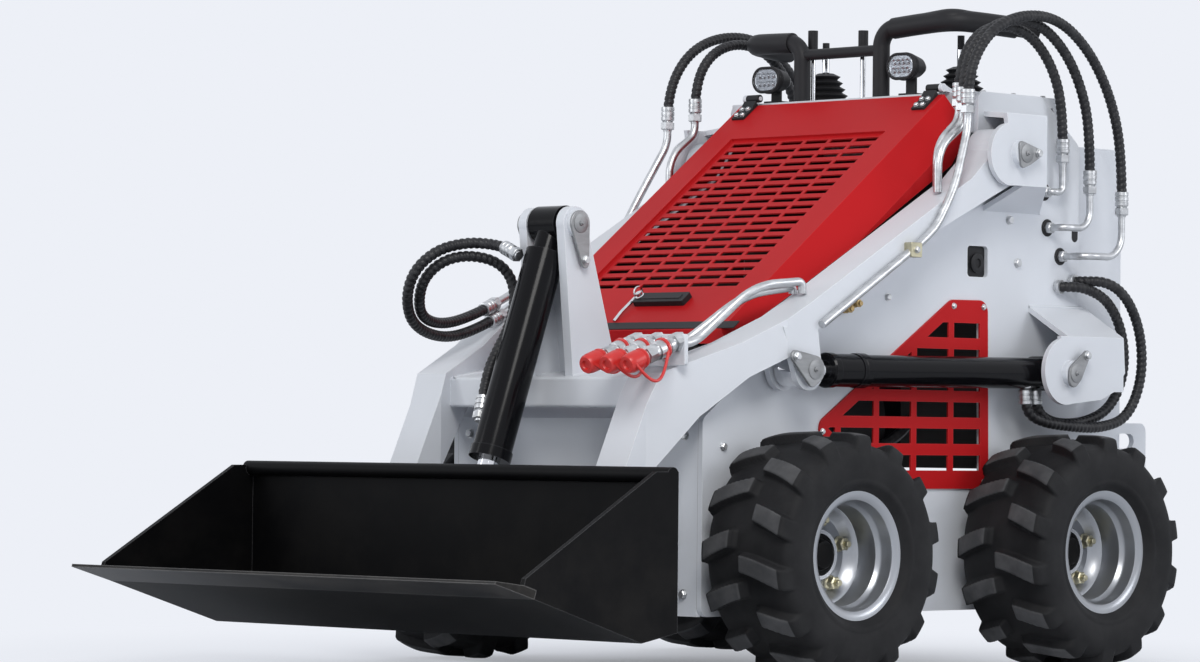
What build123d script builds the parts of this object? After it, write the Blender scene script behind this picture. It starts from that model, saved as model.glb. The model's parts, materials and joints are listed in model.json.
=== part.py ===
"""Stand-on skid steer loader with a bucket: every piece that shows, with the joints' real pins and gaps.

Millimetres. +Z is up and Z = 0 is the ground. The bucket points to -Y, and +X is the machine's left side.
Y = 0 is the middle of the whole length. Side views are drawn on the YZ plane as (Y, Z) points.
"""
from math import atan2, cos, degrees, hypot, pi, radians, sin, tan
from build123d import *
import os

os.makedirs("parts", exist_ok=True)

# ---- driving dimensions ------------------------------------------------------------------------
wheelbase = 705.0             # front axle to rear axle
axle_middle = 215.0           # Y halfway between the axles
tyre_radius = 225.0           # the axles' height too, so the tyres stand on the ground
tyre_width = 216.0
rim_radius = 104.0            # the tyre's seat, an 8 inch rim
track_half = 467.5            # X of each tyre's middle plane
axle_radius = 24.0
fit = 0.05                    # radial clearance of every running pin
gap = 6.0                     # free space beside what moves

side_outer = 330.0            # X of the chassis side plate's outer face
side_sheet = 12.0
belly_z = 110.0               # ground clearance
belly_sheet = 10.0
nose_y = -309.0               # front of the chassis
rear_body_y = (757.0, 905.0)  # the body behind the engine
platform_y = 1050.0           # rear edge of the standing platform

arm_inner = 338.0             # X of a lift arm's inner face beside the chassis
arm_width = 76.0
leg_inset = 100.0             # how far the arms' front legs stand inward of that
tower_inner = 421.0           # X of the outer tower plate's inner face
tower_sheet = 10.0
pin_radius = 19.0
boss_radius = 50.0

lift_tube_radius = 30.0
lift_rod_radius = 17.0
tilt_tube_radius = 37.0
tilt_rod_radius = 20.0
lift_eye_radius = 32.0
tilt_eye_radius = 27.0

bucket_half = 565.0
bucket_sheet = 10.0
hood_half = 271.0             # half the hood's width along its top edge
hood_sheet = 6.0
hose_radius = 10.5

# ---- places on the side view, (Y, Z) -------------------------------------------------------------
boom_pivot = (455.0, 987.0)
lift_foot = (611.0, 568.0)
lift_eye = (-116.0, 562.5)
tilt_pivot = (-372.0, 830.0)
tilt_eye = (-566.0, 290.0)
bucket_hinge = (-475.0, 150.0)
hood_hinge = (424.0, 1120.0)
hood_crest = (418.0, 1106.0)  # the hood's top edge

# ---- sizes that follow ---------------------------------------------------------------------------
axles = {"front": axle_middle - wheelbase / 2, "rear": axle_middle + wheelbase / 2}
sides = {"left": 1, "right": -1}
side_inner = side_outer - side_sheet
arm_outer = arm_inner + arm_width
arm_middle = arm_inner + arm_width / 2
tower_outer = tower_inner + tower_sheet
ear_sheet = 12.0
eye_half = arm_width / 2 - ear_sheet - gap      # half the width of a cylinder's eye in its clevis


def slab(side, low, high):
    """YZ plane to extrude from, for a piece spanning X low to high on the left or, mirrored, the right."""
    return Plane.YZ.offset(min(side * low, side * high))


def across(low, high, place, radius, mode=Mode.ADD):
    """Round bar along X from low to high at a (Y, Z) place, in the part being built."""
    with Locations(Location(((low + high) / 2, place[0], place[1]), (0, 90, 0))):
        Cylinder(radius, abs(high - low), mode=mode)


def along(start, end, x, radius, mode=Mode.ADD):
    """Round bar between two (Y, Z) places on the plane at x."""
    run = Vector(0, end[0] - start[0], end[1] - start[1])
    middle = (x, (start[0] + end[0]) / 2, (start[1] + end[1]) / 2)
    with Locations(Plane(origin=middle, z_dir=run)):
        Cylinder(radius, run.length, mode=mode)


def toward(start, end, distance):
    """The (Y, Z) place at a distance from start on the line to end."""
    share = distance / hypot(end[0] - start[0], end[1] - start[1])
    return (start[0] + (end[0] - start[0]) * share, start[1] + (end[1] - start[1]) * share)


# ---- wheels: a tyre and a rim each ---------------------------------------------------------------
hub_bore = axle_radius + fit
rim_half = 84.0               # half the rim's width between its flanges
flange_rise = 14.0
disc_x = track_half - 18.0    # the wheel disc, dished deep inside the rim
lug_count = 14                # lugs on each shoulder, long and short in turn
lug_height = 18.0
tyre_half = tyre_width / 2
tread_radius = tyre_radius - lug_height
shoulder_radius = tread_radius - 24
bead_radius = rim_radius + flange_rise
carcass_sides = 2 * lug_count
corner = 1 / cos(pi / carcass_sides)  # a regular polygon's corner over its apothem
carcass_section = [(-tyre_half + 2, shoulder_radius), (-tyre_half + 22, tread_radius),
                   (tyre_half - 22, tread_radius), (tyre_half - 2, shoulder_radius)]
lug_forms = {                 # outline as shares of the tyre's half width across, and millimetres round it
    "long": [(1.0, -33), (1.0, -4), (0.45, 0), (-0.16, 34), (-0.16, 10), (0.45, -26)],
    "short": [(1.0, -22), (1.0, 6), (0.22, 18), (0.22, -6)],
}
lug_tip = 34.0                # the farthest that a lug's flat top runs round the tyre
lug_top = (tyre_radius ** 2 - lug_tip ** 2) ** 0.5


def ring_prism(*stations, mode=Mode.ADD):
    """Solid through regular polygons round the X axis, each (X, corner radius), in the part being built."""
    rings = []
    for place_x, radius in stations:
        with BuildSketch(Plane.YZ.offset(place_x)) as ring:
            RegularPolygon(radius, carcass_sides, rotation=180 / carcass_sides)
        rings.append(ring.sketch)
    loft(rings, ruled=True, mode=mode)


with BuildPart() as tyre_form:
    ring_prism(*carcass_section)
    for side, half_step in ((1, 0.0), (-1, 0.5)):
        for number in range(lug_count):
            turn = 360.0 / lug_count * (number + half_step)
            out = Vector(0, cos(radians(turn)), sin(radians(turn)))
            foot = Plane(origin=out * (tread_radius - 26), x_dir=(1, 0, 0), z_dir=out)
            with BuildSketch(foot):
                with BuildLine():
                    outline = lug_forms["long" if number % 2 else "short"]
                    Polyline(*[(side * share * tyre_half, run) for share, run in outline], close=True)
                make_face()
            extrude(amount=lug_top - tread_radius + 26)
        ring_prism((side * rim_half, bead_radius * corner), (side * tyre_half, bead_radius + 32), mode=Mode.SUBTRACT)
    ring_prism((-rim_half, rim_radius * corner), (rim_half, rim_radius * corner), mode=Mode.SUBTRACT)
# turned so that one long lug's tip points straight down
tyre_turned = tyre_form.part.rotate(Axis.X, degrees(atan2(lug_tip, lug_top)) - 360.0 / lug_count - 90)

for end, axle_y in axles.items():
    for name, side in sides.items():
        hub = Plane(origin=(side * track_half, axle_y, tyre_radius), x_dir=(0, 1, 0), z_dir=(side, 0, 0))
        # the sketch's X is the distance out from the axle, its Y the place across the tyre
        cut = Plane(origin=hub.origin, x_dir=(0, 0, 1), z_dir=(0, -side, 0))

        tyre = tyre_turned if side > 0 else mirror(tyre_turned, about=Plane.YZ)
        tyre = tyre.moved(Location(hub.origin))
        tyre.label = f"tyre_{end}_{name}"
        export_step(tyre, f"parts/{tyre.label}.step")

        with BuildPart() as rim:
            dish = disc_x - track_half
            with BuildSketch(cut):
                with BuildLine():
                    Polyline(
                        (hub_bore, dish - 8),
                        (rim_radius - 6, dish - 8),
                        (rim_radius - 6, -rim_half - 4),
                        (rim_radius + flange_rise, -rim_half - 4),
                        (rim_radius + flange_rise, -rim_half),
                        (rim_radius, -rim_half),
                        (rim_radius, rim_half),
                        (rim_radius + flange_rise, rim_half),
                        (rim_radius + flange_rise, rim_half + 4),
                        (rim_radius - 6, rim_half + 4),
                        (rim_radius - 6, dish),
                        (rim_radius - 26, dish + 8),
                        (46, dish + 8),
                        (42, dish + 26),
                        (hub_bore, dish + 26),
                        close=True,
                    )
                make_face()
            revolve(axis=Axis(hub.origin, (side, 0, 0)))
        rim.part.label = f"rim_{end}_{name}"
        export_step(rim.part, f"parts/{rim.part.label}.step")

# ---- axles: a housing across the chassis with a stub for each wheel ------------------------------
stub_end = disc_x + 22
for end, axle_y in axles.items():
    place = (axle_y, tyre_radius)
    with BuildPart() as axle:
        across(-side_inner, side_inner, place, 42)
        for side in sides.values():
            across(side * side_inner, side * (disc_x - 30), place, 52)
            across(side * (disc_x - 30), side * stub_end, place, axle_radius)
    axle.part.label = f"axle_{end}"
    export_step(axle.part, f"parts/{axle.part.label}.step")

# ---- chassis: two side plates with the inner towers, belly, front plate --------------------------
side_outline = [
    (nose_y, belly_z),
    (900, belly_z),
    (974, 200),
    (974, 474),
    (rear_body_y[0], 474),
    (rear_body_y[0], 1020),
    (640, 1112),
    (450, 1112),
    (450, 1024),
    (395, 955),
    (-185, 606),
    (-185, 562),
    (nose_y, 470),
]
grille_outline = [(-20, 455), (155, 343), (485, 343), (479, 707), (372, 706)]
grille_border = 16.0
window_middle = (452.0, 782.0)   # the square hole beside the arm
window_size = 60.0
lug_slot = (908.0, 438.0)        # tie-down slot in the side plate's rear lug

for name, side in sides.items():
    with BuildPart() as side_plate:
        with BuildSketch(slab(side, side_inner, side_outer)):
            with BuildLine():
                FilletPolyline(*side_outline, radius=18, close=True)
            make_face()
            with BuildSketch(mode=Mode.SUBTRACT):
                with BuildLine():
                    Polyline(*grille_outline, close=True)
                make_face()
                offset(amount=-grille_border, kind=Kind.INTERSECTION, mode=Mode.REPLACE)
            with Locations(window_middle):
                RectangleRounded(window_size, window_size, 8, mode=Mode.SUBTRACT)
            with Locations(lug_slot):
                SlotOverall(56, 30, mode=Mode.SUBTRACT)
            for axle_y in axles.values():
                with Locations((axle_y, tyre_radius)):
                    Circle(52, mode=Mode.SUBTRACT)
        extrude(amount=side_sheet)
    side_plate.part.label = f"chassis_side_{name}"
    export_step(side_plate.part, f"parts/{side_plate.part.label}.step")

    slot_rows = 6
    slot_columns = 5
    with BuildPart() as side_grille:
        with BuildSketch(slab(side, side_outer, side_outer + 4)):
            with BuildLine():
                FilletPolyline(*grille_outline, radius=24, close=True)
            make_face()
            with BuildSketch(mode=Mode.SUBTRACT):
                with Locations((212, 520)):
                    with GridLocations(107, 51, slot_columns, slot_rows):
                        Rectangle(92, 29)
                with BuildSketch(mode=Mode.INTERSECT):
                    with BuildLine():
                        Polyline(*grille_outline, close=True)
                    make_face()
                    offset(amount=-grille_border - 8, kind=Kind.INTERSECTION, mode=Mode.REPLACE)
        extrude(amount=4)
    side_grille.part.label = f"side_grille_{name}"
    export_step(side_grille.part, f"parts/{side_grille.part.label}.step")

with BuildPart() as belly_plate:
    with BuildSketch(slab(1, -side_inner, side_inner)):
        with BuildLine():
            Polyline(
                (nose_y + belly_sheet, belly_z),
                (900, belly_z),
                (900, belly_z + belly_sheet),
                (nose_y + belly_sheet, belly_z + belly_sheet),
                close=True,
            )
        make_face()
    extrude(amount=2 * side_inner)
belly_plate.part.label = "belly_plate"
export_step(belly_plate.part, "parts/belly_plate.step")

with BuildPart() as front_plate:
    with BuildSketch(slab(1, -side_inner, side_inner)):
        with BuildLine():
            Polyline(
                (nose_y, belly_z),
                (nose_y + belly_sheet, belly_z),
                (nose_y + belly_sheet, 466),
                (-181, 558),
                (-181, 596),
                (-191, 596),
                (-191, 563),
                (nose_y, 470),
                close=True,
            )
        make_face()
    extrude(amount=2 * side_inner)
front_plate.part.label = "front_plate"
export_step(front_plate.part, "parts/front_plate.step")

with BuildPart() as engine:
    with Locations((0, 190, 400)):
        Box(380, 400, 300)
engine.part.label = "engine"
export_step(engine.part, "parts/engine.step")

engine_mount_z = belly_z + belly_sheet
with BuildPart() as engine_cradle:
    for place_x in (-150, 150):
        with Locations((place_x, 190, (engine_mount_z + 250) / 2)):
            Box(40, 420, 250 - engine_mount_z)
engine_cradle.part.label = "engine_cradle"
export_step(engine_cradle.part, "parts/engine_cradle.step")

with BuildPart() as rear_body:
    with BuildSketch(slab(1, -side_inner, side_inner)):
        with BuildLine():
            FilletPolyline(
                (rear_body_y[0] - 40, 380),
                (rear_body_y[1], 380),
                (rear_body_y[1], 1020),
                (rear_body_y[0] - 40, 1020),
                radius=[1, 30, 30, 1],
                close=True,
            )
        make_face()
    extrude(amount=2 * side_inner)
rear_body.part.label = "rear_body"
export_step(rear_body.part, "parts/rear_body.step")

hinge_x = 240.0               # middle of each hood hinge
hinge_half = 16.0
hinge_pin = 4.0
console_low = 1092.0
console_high = 1112.0
with BuildPart() as console:
    with BuildSketch(slab(1, -side_inner, side_inner)):
        with BuildLine():
            FilletPolyline(
                (hood_crest[0] + 24, console_low - 60),
                (hood_crest[0] + 36, console_low - 60),
                (hood_crest[0] + 36, console_low),
                (690, console_low),
                (rear_body_y[0] - 40 , 1020),
                (rear_body_y[0] - 20, 1020),
                (700, console_high),
                (hood_crest[0] + 24, console_high),
                radius=2,
                close=True,
            )
        make_face()
    extrude(amount=2 * side_inner)
    for side in sides.values():
        low = side * (hinge_x + hinge_half + 1)
        high = side * (hinge_x + hinge_half + 9)
        with BuildSketch(slab(1, min(low, high), max(low, high))):
            with BuildLine():
                Polyline(
                    (hood_hinge[0] - 2, hood_hinge[1] + 8),
                    (hood_hinge[0] + 40, console_high),
                    (hood_crest[0] + 24, console_high),
                    (hood_hinge[0] + 6, hood_hinge[1] - 7),
                    close=True,
                )
            make_face()
            with Locations(hood_hinge):
                Circle(8)
        extrude(amount=8)
        across(side * (hinge_x - hinge_half - 2), high, hood_hinge, hinge_pin)
console.part.label = "console"
export_step(console.part, "parts/console.step")

with BuildPart() as platform:
    with BuildSketch(Plane.XY.offset(230)):
        with Locations((0, (rear_body_y[1] - 20 + platform_y) / 2)):
            RectangleRounded(2 * side_inner, platform_y - rear_body_y[1] + 20, 20)
    extrude(amount=12)
    for side in sides.values():
        with BuildSketch(slab(side, side_inner - 8, side_inner)):
            with BuildLine():
                Polyline((820, 150), (860, 150), (platform_y - 20, 230), (820, 230), close=True)
            make_face()
        extrude(amount=8)
platform.part.label = "platform"
export_step(platform.part, "parts/platform.step")

# ---- towers: pressed boxes on the side plates that carry the boom's and the lift cylinders' pins ----
ear_nose = (432.0, 985.0)     # the rounded front of the boom's ear, ahead of its pin
foot_nose = (602.0, 572.0)    # the same on the lift cylinder's ear
boom_ear = [(417, 1064), (537, 1064), (537, 926), (432, 926), ear_nose]
foot_ear = [(584, 640), (776, 640), (781, 571), (748, 534), (707, 518), (602, 508), foot_nose]
tower_boxes = [  # front Y, rear Y outside and beside the chassis, bottom and top Z outside, then beside the chassis
    (468, 537, 636, 926, 1064, 880, 1074),
    (606, 776, 778, 534, 640, 534, 700),
]
for name, side in sides.items():
    with BuildPart() as tower_plate:
        for front, rear, root_rear, low, high, root_low, root_high in tower_boxes:
            with BuildSketch(Plane.YZ.offset(side * side_outer)):
                with BuildLine():
                    Polyline((front, root_low), (root_rear, root_low), (root_rear, root_high), (front, root_high),
                             close=True)
                make_face()
            with BuildSketch(Plane.YZ.offset(side * tower_outer)):
                with BuildLine():
                    Polyline((front, low), (rear, low), (rear, high), (front, high), close=True)
                make_face()
            loft(ruled=True)
        walls = tower_plate.faces()
        open_walls = walls.filter_by(Axis.X).group_by(SortBy.AREA)[-1]
        open_walls = [wall for wall in walls if abs(wall.center().X - side * side_outer) < 1]
        open_walls += walls.filter_by(lambda wall: wall.normal_at().Y < -0.99)
        open_walls += walls.filter_by(lambda wall: wall.normal_at().Z < -0.99 and wall.center().Z < 600)
        offset(amount=-tower_sheet, openings=open_walls, kind=Kind.INTERSECTION)
        with BuildSketch(slab(side, tower_inner, tower_outer)):
            for outline, nose, radius in ((boom_ear, ear_nose, 60), (foot_ear, foot_nose, 65)):
                with BuildLine():
                    Polyline(*outline, close=True)
                make_face()
                with Locations(nose):
                    Circle(radius)
        extrude(amount=tower_sheet)
        across(side * side_outer, side * (tower_outer + 14), boom_pivot, pin_radius)
        across(side * side_outer, side * (arm_inner - 1), boom_pivot, pin_radius + 12)
        across(side * side_outer, side * (tower_outer + 12), lift_foot, pin_radius)
        for place, reach in ((boom_pivot, 14), (lift_foot, 12)):
            across(side * tower_outer, side * (tower_outer + reach), place, pin_radius + 6)
    tower_plate.part.label = f"tower_plate_{name}"
    export_step(tower_plate.part, f"parts/{tower_plate.part.label}.step")

# ---- lift arms: a side outline crossed with the plan's bend ---------------------------------------
arm_outline = [
    (455, 1037),
    (337, 936),
    (-104, 691),
    (-260, 610),
    (-413, 552),
    (-493, 377),
    (-517, 150),
    (-490, 105),
    (-440, 120),
    (-428, 230),
    (-440, 360),
    (-341, 473),
    (-247, 547),
    (-140, 600),
    (-101, 632),
    (233, 830),
    (490, 945),
]
arm_plan = [  # (X, Y) on the left side
    (arm_inner, 520),
    (arm_outer, 520),
    (arm_outer, -175),
    (arm_outer - leg_inset, -440),
    (arm_outer - leg_inset, -540),
    (arm_inner - leg_inset, -540),
    (arm_inner - leg_inset, -430),
    (arm_inner, -165),
]
for name, side in sides.items():
    with BuildPart() as arm:
        with BuildSketch(slab(side, arm_inner - leg_inset, arm_outer)):
            with BuildLine():
                Polyline(*arm_outline, close=True)
            make_face()
            with Locations(boom_pivot):
                Circle(boss_radius)
        extrude(amount=arm_width + leg_inset)
        with BuildSketch(Plane.XY):
            with BuildLine():
                Polyline(*[(side * x, y) for x, y in arm_plan], close=True)
            make_face()
        extrude(amount=1200, mode=Mode.INTERSECT)
        for low in (arm_inner, arm_outer - ear_sheet):
            with BuildSketch(slab(side, low, low + ear_sheet)):
                with BuildLine():
                    Polyline(
                        (lift_eye[0] - 70, 640),
                        (lift_eye[0] - 32, lift_eye[1] - 21),
                        (lift_eye[0] + 36, lift_eye[1] - 10),
                        (lift_eye[0] + 22, 640),
                        close=True,
                    )
                make_face()
                with Locations(lift_eye):
                    Circle(38)
            extrude(amount=ear_sheet)
        across(side * arm_outer, side * (arm_outer + 10), lift_eye, pin_radius + 4)
        across(side * 0, side * 500, boom_pivot, pin_radius + fit, Mode.SUBTRACT)
        across(side * 0, side * 500, bucket_hinge, pin_radius + fit, Mode.SUBTRACT)
    arm.part.label = f"arm_{name}"
    export_step(arm.part, f"parts/{arm.part.label}.step")

leg_inner = arm_inner - leg_inset
leg_outer = arm_outer - leg_inset
with BuildPart() as crossmember:
    with BuildSketch(slab(1, -arm_inner, arm_inner)):
        with BuildLine():
            FilletPolyline(
                (-395, 487),
                (-290, 520),
                (-258, 565),
                (-395, 545),
                radius=6,
                close=True,
            )
        make_face()
    extrude(amount=2 * arm_inner)
    with BuildSketch(Plane.XY):
        with BuildLine():
            Polyline(
                *arm_plan[5:],
                *[(-x, y) for x, y in reversed(arm_plan[5:])],
                close=True,
            )
        make_face()
    extrude(amount=1200, mode=Mode.INTERSECT)
crossmember.part.label = "crossmember"
export_step(crossmember.part, "parts/crossmember.step")

# ---- tilt bracket: two plates that stand on the crossmember, with a web between --------------------
bracket_outer = 60.0
bracket_sheet = 20.0
crossmember_top = [(-395.0, 545.0), (-258.0, 565.0)]


def on_crossmember(y):
    """The (Y, Z) place on the crossmember's sloping top."""
    low, high = crossmember_top
    return (y, low[1] + (y - low[0]) * (high[1] - low[1]) / (high[0] - low[0]))


bracket_outline = [(-403, 824), on_crossmember(-376), on_crossmember(-262), (-341, 820)]
with BuildPart() as tilt_bracket:
    for name, side in sides.items():
        with BuildSketch(slab(side, bracket_outer - bracket_sheet, bracket_outer)):
            with BuildLine():
                Polyline(*bracket_outline, close=True)
            make_face()
            with Locations(tilt_pivot):
                Circle(32)
        extrude(amount=bracket_sheet)
        across(side * bracket_outer, side * (bracket_outer + 8), tilt_pivot, pin_radius + 6)
    with BuildSketch(slab(1, -bracket_outer, bracket_outer)):
        with BuildLine():
            Polyline(on_crossmember(-300), (-330, 770), (-340, 770), on_crossmember(-312), close=True)
        make_face()
    extrude(amount=2 * bracket_outer)
    across(-bracket_outer, bracket_outer, tilt_pivot, pin_radius)
tilt_bracket.part.label = "tilt_bracket"
export_step(tilt_bracket.part, "parts/tilt_bracket.step")

# ---- cylinders: a barrel that turns on its pin and a rod that slides in it --------------------------
cylinders = [  # name, X, foot, eye, tube radius, rod radius, neck, tube's end, rod length, half the foot's width
    ("lift_left", arm_middle, lift_foot, lift_eye, lift_tube_radius, lift_rod_radius, 20, 565, 620, 38),
    ("lift_right", -arm_middle, lift_foot, lift_eye, lift_tube_radius, lift_rod_radius, 20, 565, 620, 38),
    ("tilt", 0, tilt_pivot, tilt_eye, tilt_tube_radius, tilt_rod_radius, 58, 466, 480,
     bracket_outer - bracket_sheet - gap),
]
tilt_eye_half = 26.0
for name, x, foot, eye, tube_radius, rod_radius, neck, tube_length, rod_length, foot_half in cylinders:
    eye_width = tilt_eye_half if name == "tilt" else eye_half
    eye_radius = tilt_eye_radius if name == "tilt" else lift_eye_radius
    tube_end = toward(foot, eye, tube_length)
    with BuildPart() as barrel:
        along(toward(foot, eye, 15), toward(foot, eye, neck + 5), x, tube_radius - 11)
        along(toward(foot, eye, neck), tube_end, x, tube_radius)
        along(toward(foot, eye, tube_length - 20), tube_end, x, tube_radius + 2.5)
        across(x - foot_half, x + foot_half, foot, 34)
        along(toward(foot, eye, 60), tube_end, x, rod_radius + 0.3, Mode.SUBTRACT)
        across(x - foot_half, x + foot_half, foot, pin_radius + fit, Mode.SUBTRACT)
    barrel.part.label = f"{name}_barrel"
    export_step(barrel.part, f"parts/{barrel.part.label}.step")

    reach = hypot(eye[0] - foot[0], eye[1] - foot[1])
    with BuildPart() as rod:
        along(toward(foot, eye, reach - rod_length), eye, x, rod_radius)
        across(x - eye_width, x + eye_width, eye, eye_radius)
    rod.part.label = f"{name}_rod"
    export_step(rod.part, f"parts/{rod.part.label}.step")

# ---- bucket and the plate that carries it ----------------------------------------------------------
plate_y = -600.0              # rear face of the attach plate
plate_sheet = 12.0
plate_half = 336.0
ear_gap = 7.0
with BuildPart() as attach_plate:
    with BuildSketch(slab(1, -plate_half, plate_half)):
        with BuildLine():
            Polyline(
                (plate_y, 104),
                (plate_y, 370),
                (plate_y - plate_sheet, 370),
                (plate_y - plate_sheet, 104),
                close=True,
            )
        make_face()
    extrude(amount=2 * plate_half)
    for side in sides.values():
        for low in (leg_inner - ear_gap - ear_sheet, leg_outer + ear_gap):
            with BuildSketch(slab(side, low, low + ear_sheet)):
                with BuildLine():
                    Polyline((plate_y, 110), (plate_y, 300), (-500, 190), (-480, 112), close=True)
                make_face()
                with Locations(bucket_hinge):
                    Circle(40)
            extrude(amount=ear_sheet)
        across(
            side * (leg_inner - ear_gap - ear_sheet),
            side * (leg_outer + ear_gap + ear_sheet + 8),
            bucket_hinge,
            pin_radius,
        )
        with BuildSketch(slab(side, tilt_eye_half + gap, tilt_eye_half + gap + ear_sheet)):
            with BuildLine():
                Polyline((plate_y, 180), (plate_y, 350), (-560, 328), (-540, 240), close=True)
            make_face()
            with Locations(tilt_eye):
                Circle(38)
        extrude(amount=ear_sheet)
        across(side * (tilt_eye_half + gap), side * (tilt_eye_half + gap + ear_sheet + 8), tilt_eye, pin_radius)
        with BuildSketch(slab(side, plate_half - 10, plate_half)):
            with BuildLine():
                Polyline((plate_y, 104), (plate_y, 366), (plate_y + 14, 366), (plate_y + 60, 130), close=True)
            make_face()
        extrude(amount=10)
attach_plate.part.label = "attach_plate"
export_step(attach_plate.part, "parts/attach_plate.step")

back_y = plate_y - plate_sheet
tip = (-1050.0, 187.0)
heel = [(back_y, 376), (back_y, 96), (back_y - 88, 80), (-958, 160)]
edge_sheet = 16.0             # thickness of the cutting edge


def on_floor(ahead, above):
    """The (Y, Z) place ahead of the floor's front edge, along the floor, and above its underside."""
    run = atan2(heel[3][1] - heel[2][1], heel[2][0] - heel[3][0])
    return (heel[3][0] - ahead * cos(run) + above * sin(run), heel[3][1] + ahead * sin(run) + above * cos(run))


with BuildPart() as bucket_shell:
    with BuildSketch(slab(1, -bucket_half, bucket_half)):
        with BuildLine():
            Polyline(*heel)
            offset(amount=bucket_sheet, side=Side.RIGHT)
        make_face()
    extrude(amount=2 * bucket_half)
    for side in sides.values():
        with BuildSketch(slab(side, bucket_half - bucket_sheet, bucket_half)):
            with BuildLine():
                Polyline(
                    heel[0],
                    (back_y - 55, 376),
                    on_floor(30, 28),
                    on_floor(30, edge_sheet),
                    on_floor(0, edge_sheet),
                    *heel[:0:-1],
                    close=True,
                )
            make_face()
        extrude(amount=bucket_sheet)
    across(-bucket_half, bucket_half, (back_y - 14, 370), 14)
bucket_shell.part.label = "bucket_shell"
export_step(bucket_shell.part, "parts/bucket_shell.step")

with BuildPart() as cutting_edge:
    with BuildSketch(slab(1, -bucket_half, bucket_half)):
        with BuildLine():
            Polyline(on_floor(0, 0), tip, on_floor(96, 4), on_floor(30, edge_sheet), on_floor(0, edge_sheet), close=True)
        make_face()
    extrude(amount=2 * bucket_half)
cutting_edge.part.label = "cutting_edge"
export_step(cutting_edge.part, "parts/cutting_edge.step")

# ---- hood: a folded red cover, its louvred grille and its latch ------------------------------------
hood_front = (-203.0, 636.0)
hood_lip = 26.0
hood_flange_half = 316.0      # half the hood's width along its lower edge
slope = atan2(hood_crest[1] - hood_front[1], hood_crest[0] - hood_front[0])
hood_top = Plane(origin=(0, hood_crest[0], hood_crest[1]), x_dir=(1, 0, 0), z_dir=(0, -sin(slope), cos(slope)))
hood_outline = [
    hood_crest,
    hood_front,
    (hood_front[0], hood_front[1] - hood_lip),
    (389, 966),
    (436, 1028),
]
field_middle = -381.0         # the louvre field, measured down the slope from the hinge
field_width = 412.0
field_length = 520.0
with BuildPart() as hood_panel:
    with BuildSketch(slab(1, -hood_flange_half, hood_flange_half)):
        with BuildLine():
            Polyline(*hood_outline, close=True)
        make_face()
    extrude(amount=2 * hood_flange_half)
    flat_edges = hood_panel.faces().filter_by(lambda f: f.normal_at().dot(hood_top.z_dir) > 0.99).edges()
    chamfer(flat_edges.filter_by(lambda e: abs(e.center().X) > hood_flange_half - 1), 
            length=hood_flange_half - hood_half, length2=60)
    under = hood_panel.faces().filter_by(lambda f: f.normal_at().Z < -0.2)
    offset(amount=-hood_sheet, openings=under, kind=Kind.INTERSECTION)
    with BuildSketch(hood_top):
        with Locations((0, field_middle)):
            Rectangle(field_width, field_length)
    extrude(amount=-3 * hood_sheet, mode=Mode.SUBTRACT)
hood_panel.part.label = "hood_panel"
export_step(hood_panel.part, "parts/hood_panel.step")

grille_margin = 12.0
grille_sheet = 3.0
with BuildPart() as hood_grille:
    with BuildSketch(hood_top.offset(-hood_sheet - grille_sheet)):
        with Locations((0, field_middle)):
            Rectangle(field_width + 2 * grille_margin, field_length + 2 * grille_margin)
            with GridLocations(66, 25.5, 6, 20):
                Rectangle(58, 13, mode=Mode.SUBTRACT)
    extrude(amount=grille_sheet)
hood_grille.part.label = "hood_grille"
export_step(hood_grille.part, "parts/hood_grille.step")

hinge_sheet = 5.0
with BuildPart() as hood_fittings:
    for side in sides.values():
        leaf = [hood_top * Location((0, along_slope, up)) for along_slope, up in
                ((-52, 0), (0, 0), (0, hinge_sheet + 6), (-10, hinge_sheet + 3), (-18, hinge_sheet), (-52, hinge_sheet))]
        low = min(side * (hinge_x - hinge_half), side * (hinge_x + hinge_half))
        with BuildSketch(Plane.YZ.offset(low)):
            with BuildLine():
                Polyline(*[(place.position.Y, place.position.Z) for place in leaf], close=True)
            make_face()
            with Locations(hood_hinge):
                Circle(8)
                Circle(hinge_pin + fit, mode=Mode.SUBTRACT)
        extrude(amount=2 * hinge_half)
    with Locations(hood_top * Location((50, field_middle - field_length / 2 - 45, 5))):
        Box(120, 22, 10)
hood_fittings.part.label = "hood_fittings"
export_step(hood_fittings.part, "parts/hood_fittings.step")

# ---- lamps, grab bars and hand controls on the console ----------------------------------------------
lamps = [(128, 1170), (-235, 1160)]   # X, Z of each lamp's middle
lamp_y = 456.0                # the lenses' front, behind the raised hood
lamp_rings = [(0, 37, 27), (-8, 38, 28), (-38, 28, 21), (-56, 14, 12)]   # place behind the lens, half axes
with BuildPart() as work_lamps:
    for x, z in lamps:
        face = Plane(origin=(x, lamp_y, z), x_dir=(1, 0, 0), z_dir=(0, -1, 0))
        for place, half_wide, half_high in lamp_rings:
            with BuildSketch(face.offset(place)):
                Ellipse(half_wide, half_high)
        loft(ruled=True)
        with Locations((x, lamp_y + 28, (console_high + z - 16) / 2)):
            Box(24, 6, z - 16 - console_high)
        with Locations((x, lamp_y + 34, console_high + 3)):
            Box(40, 44, 6)
work_lamps.part.label = "work_lamps"
export_step(work_lamps.part, "parts/work_lamps.step")

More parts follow.
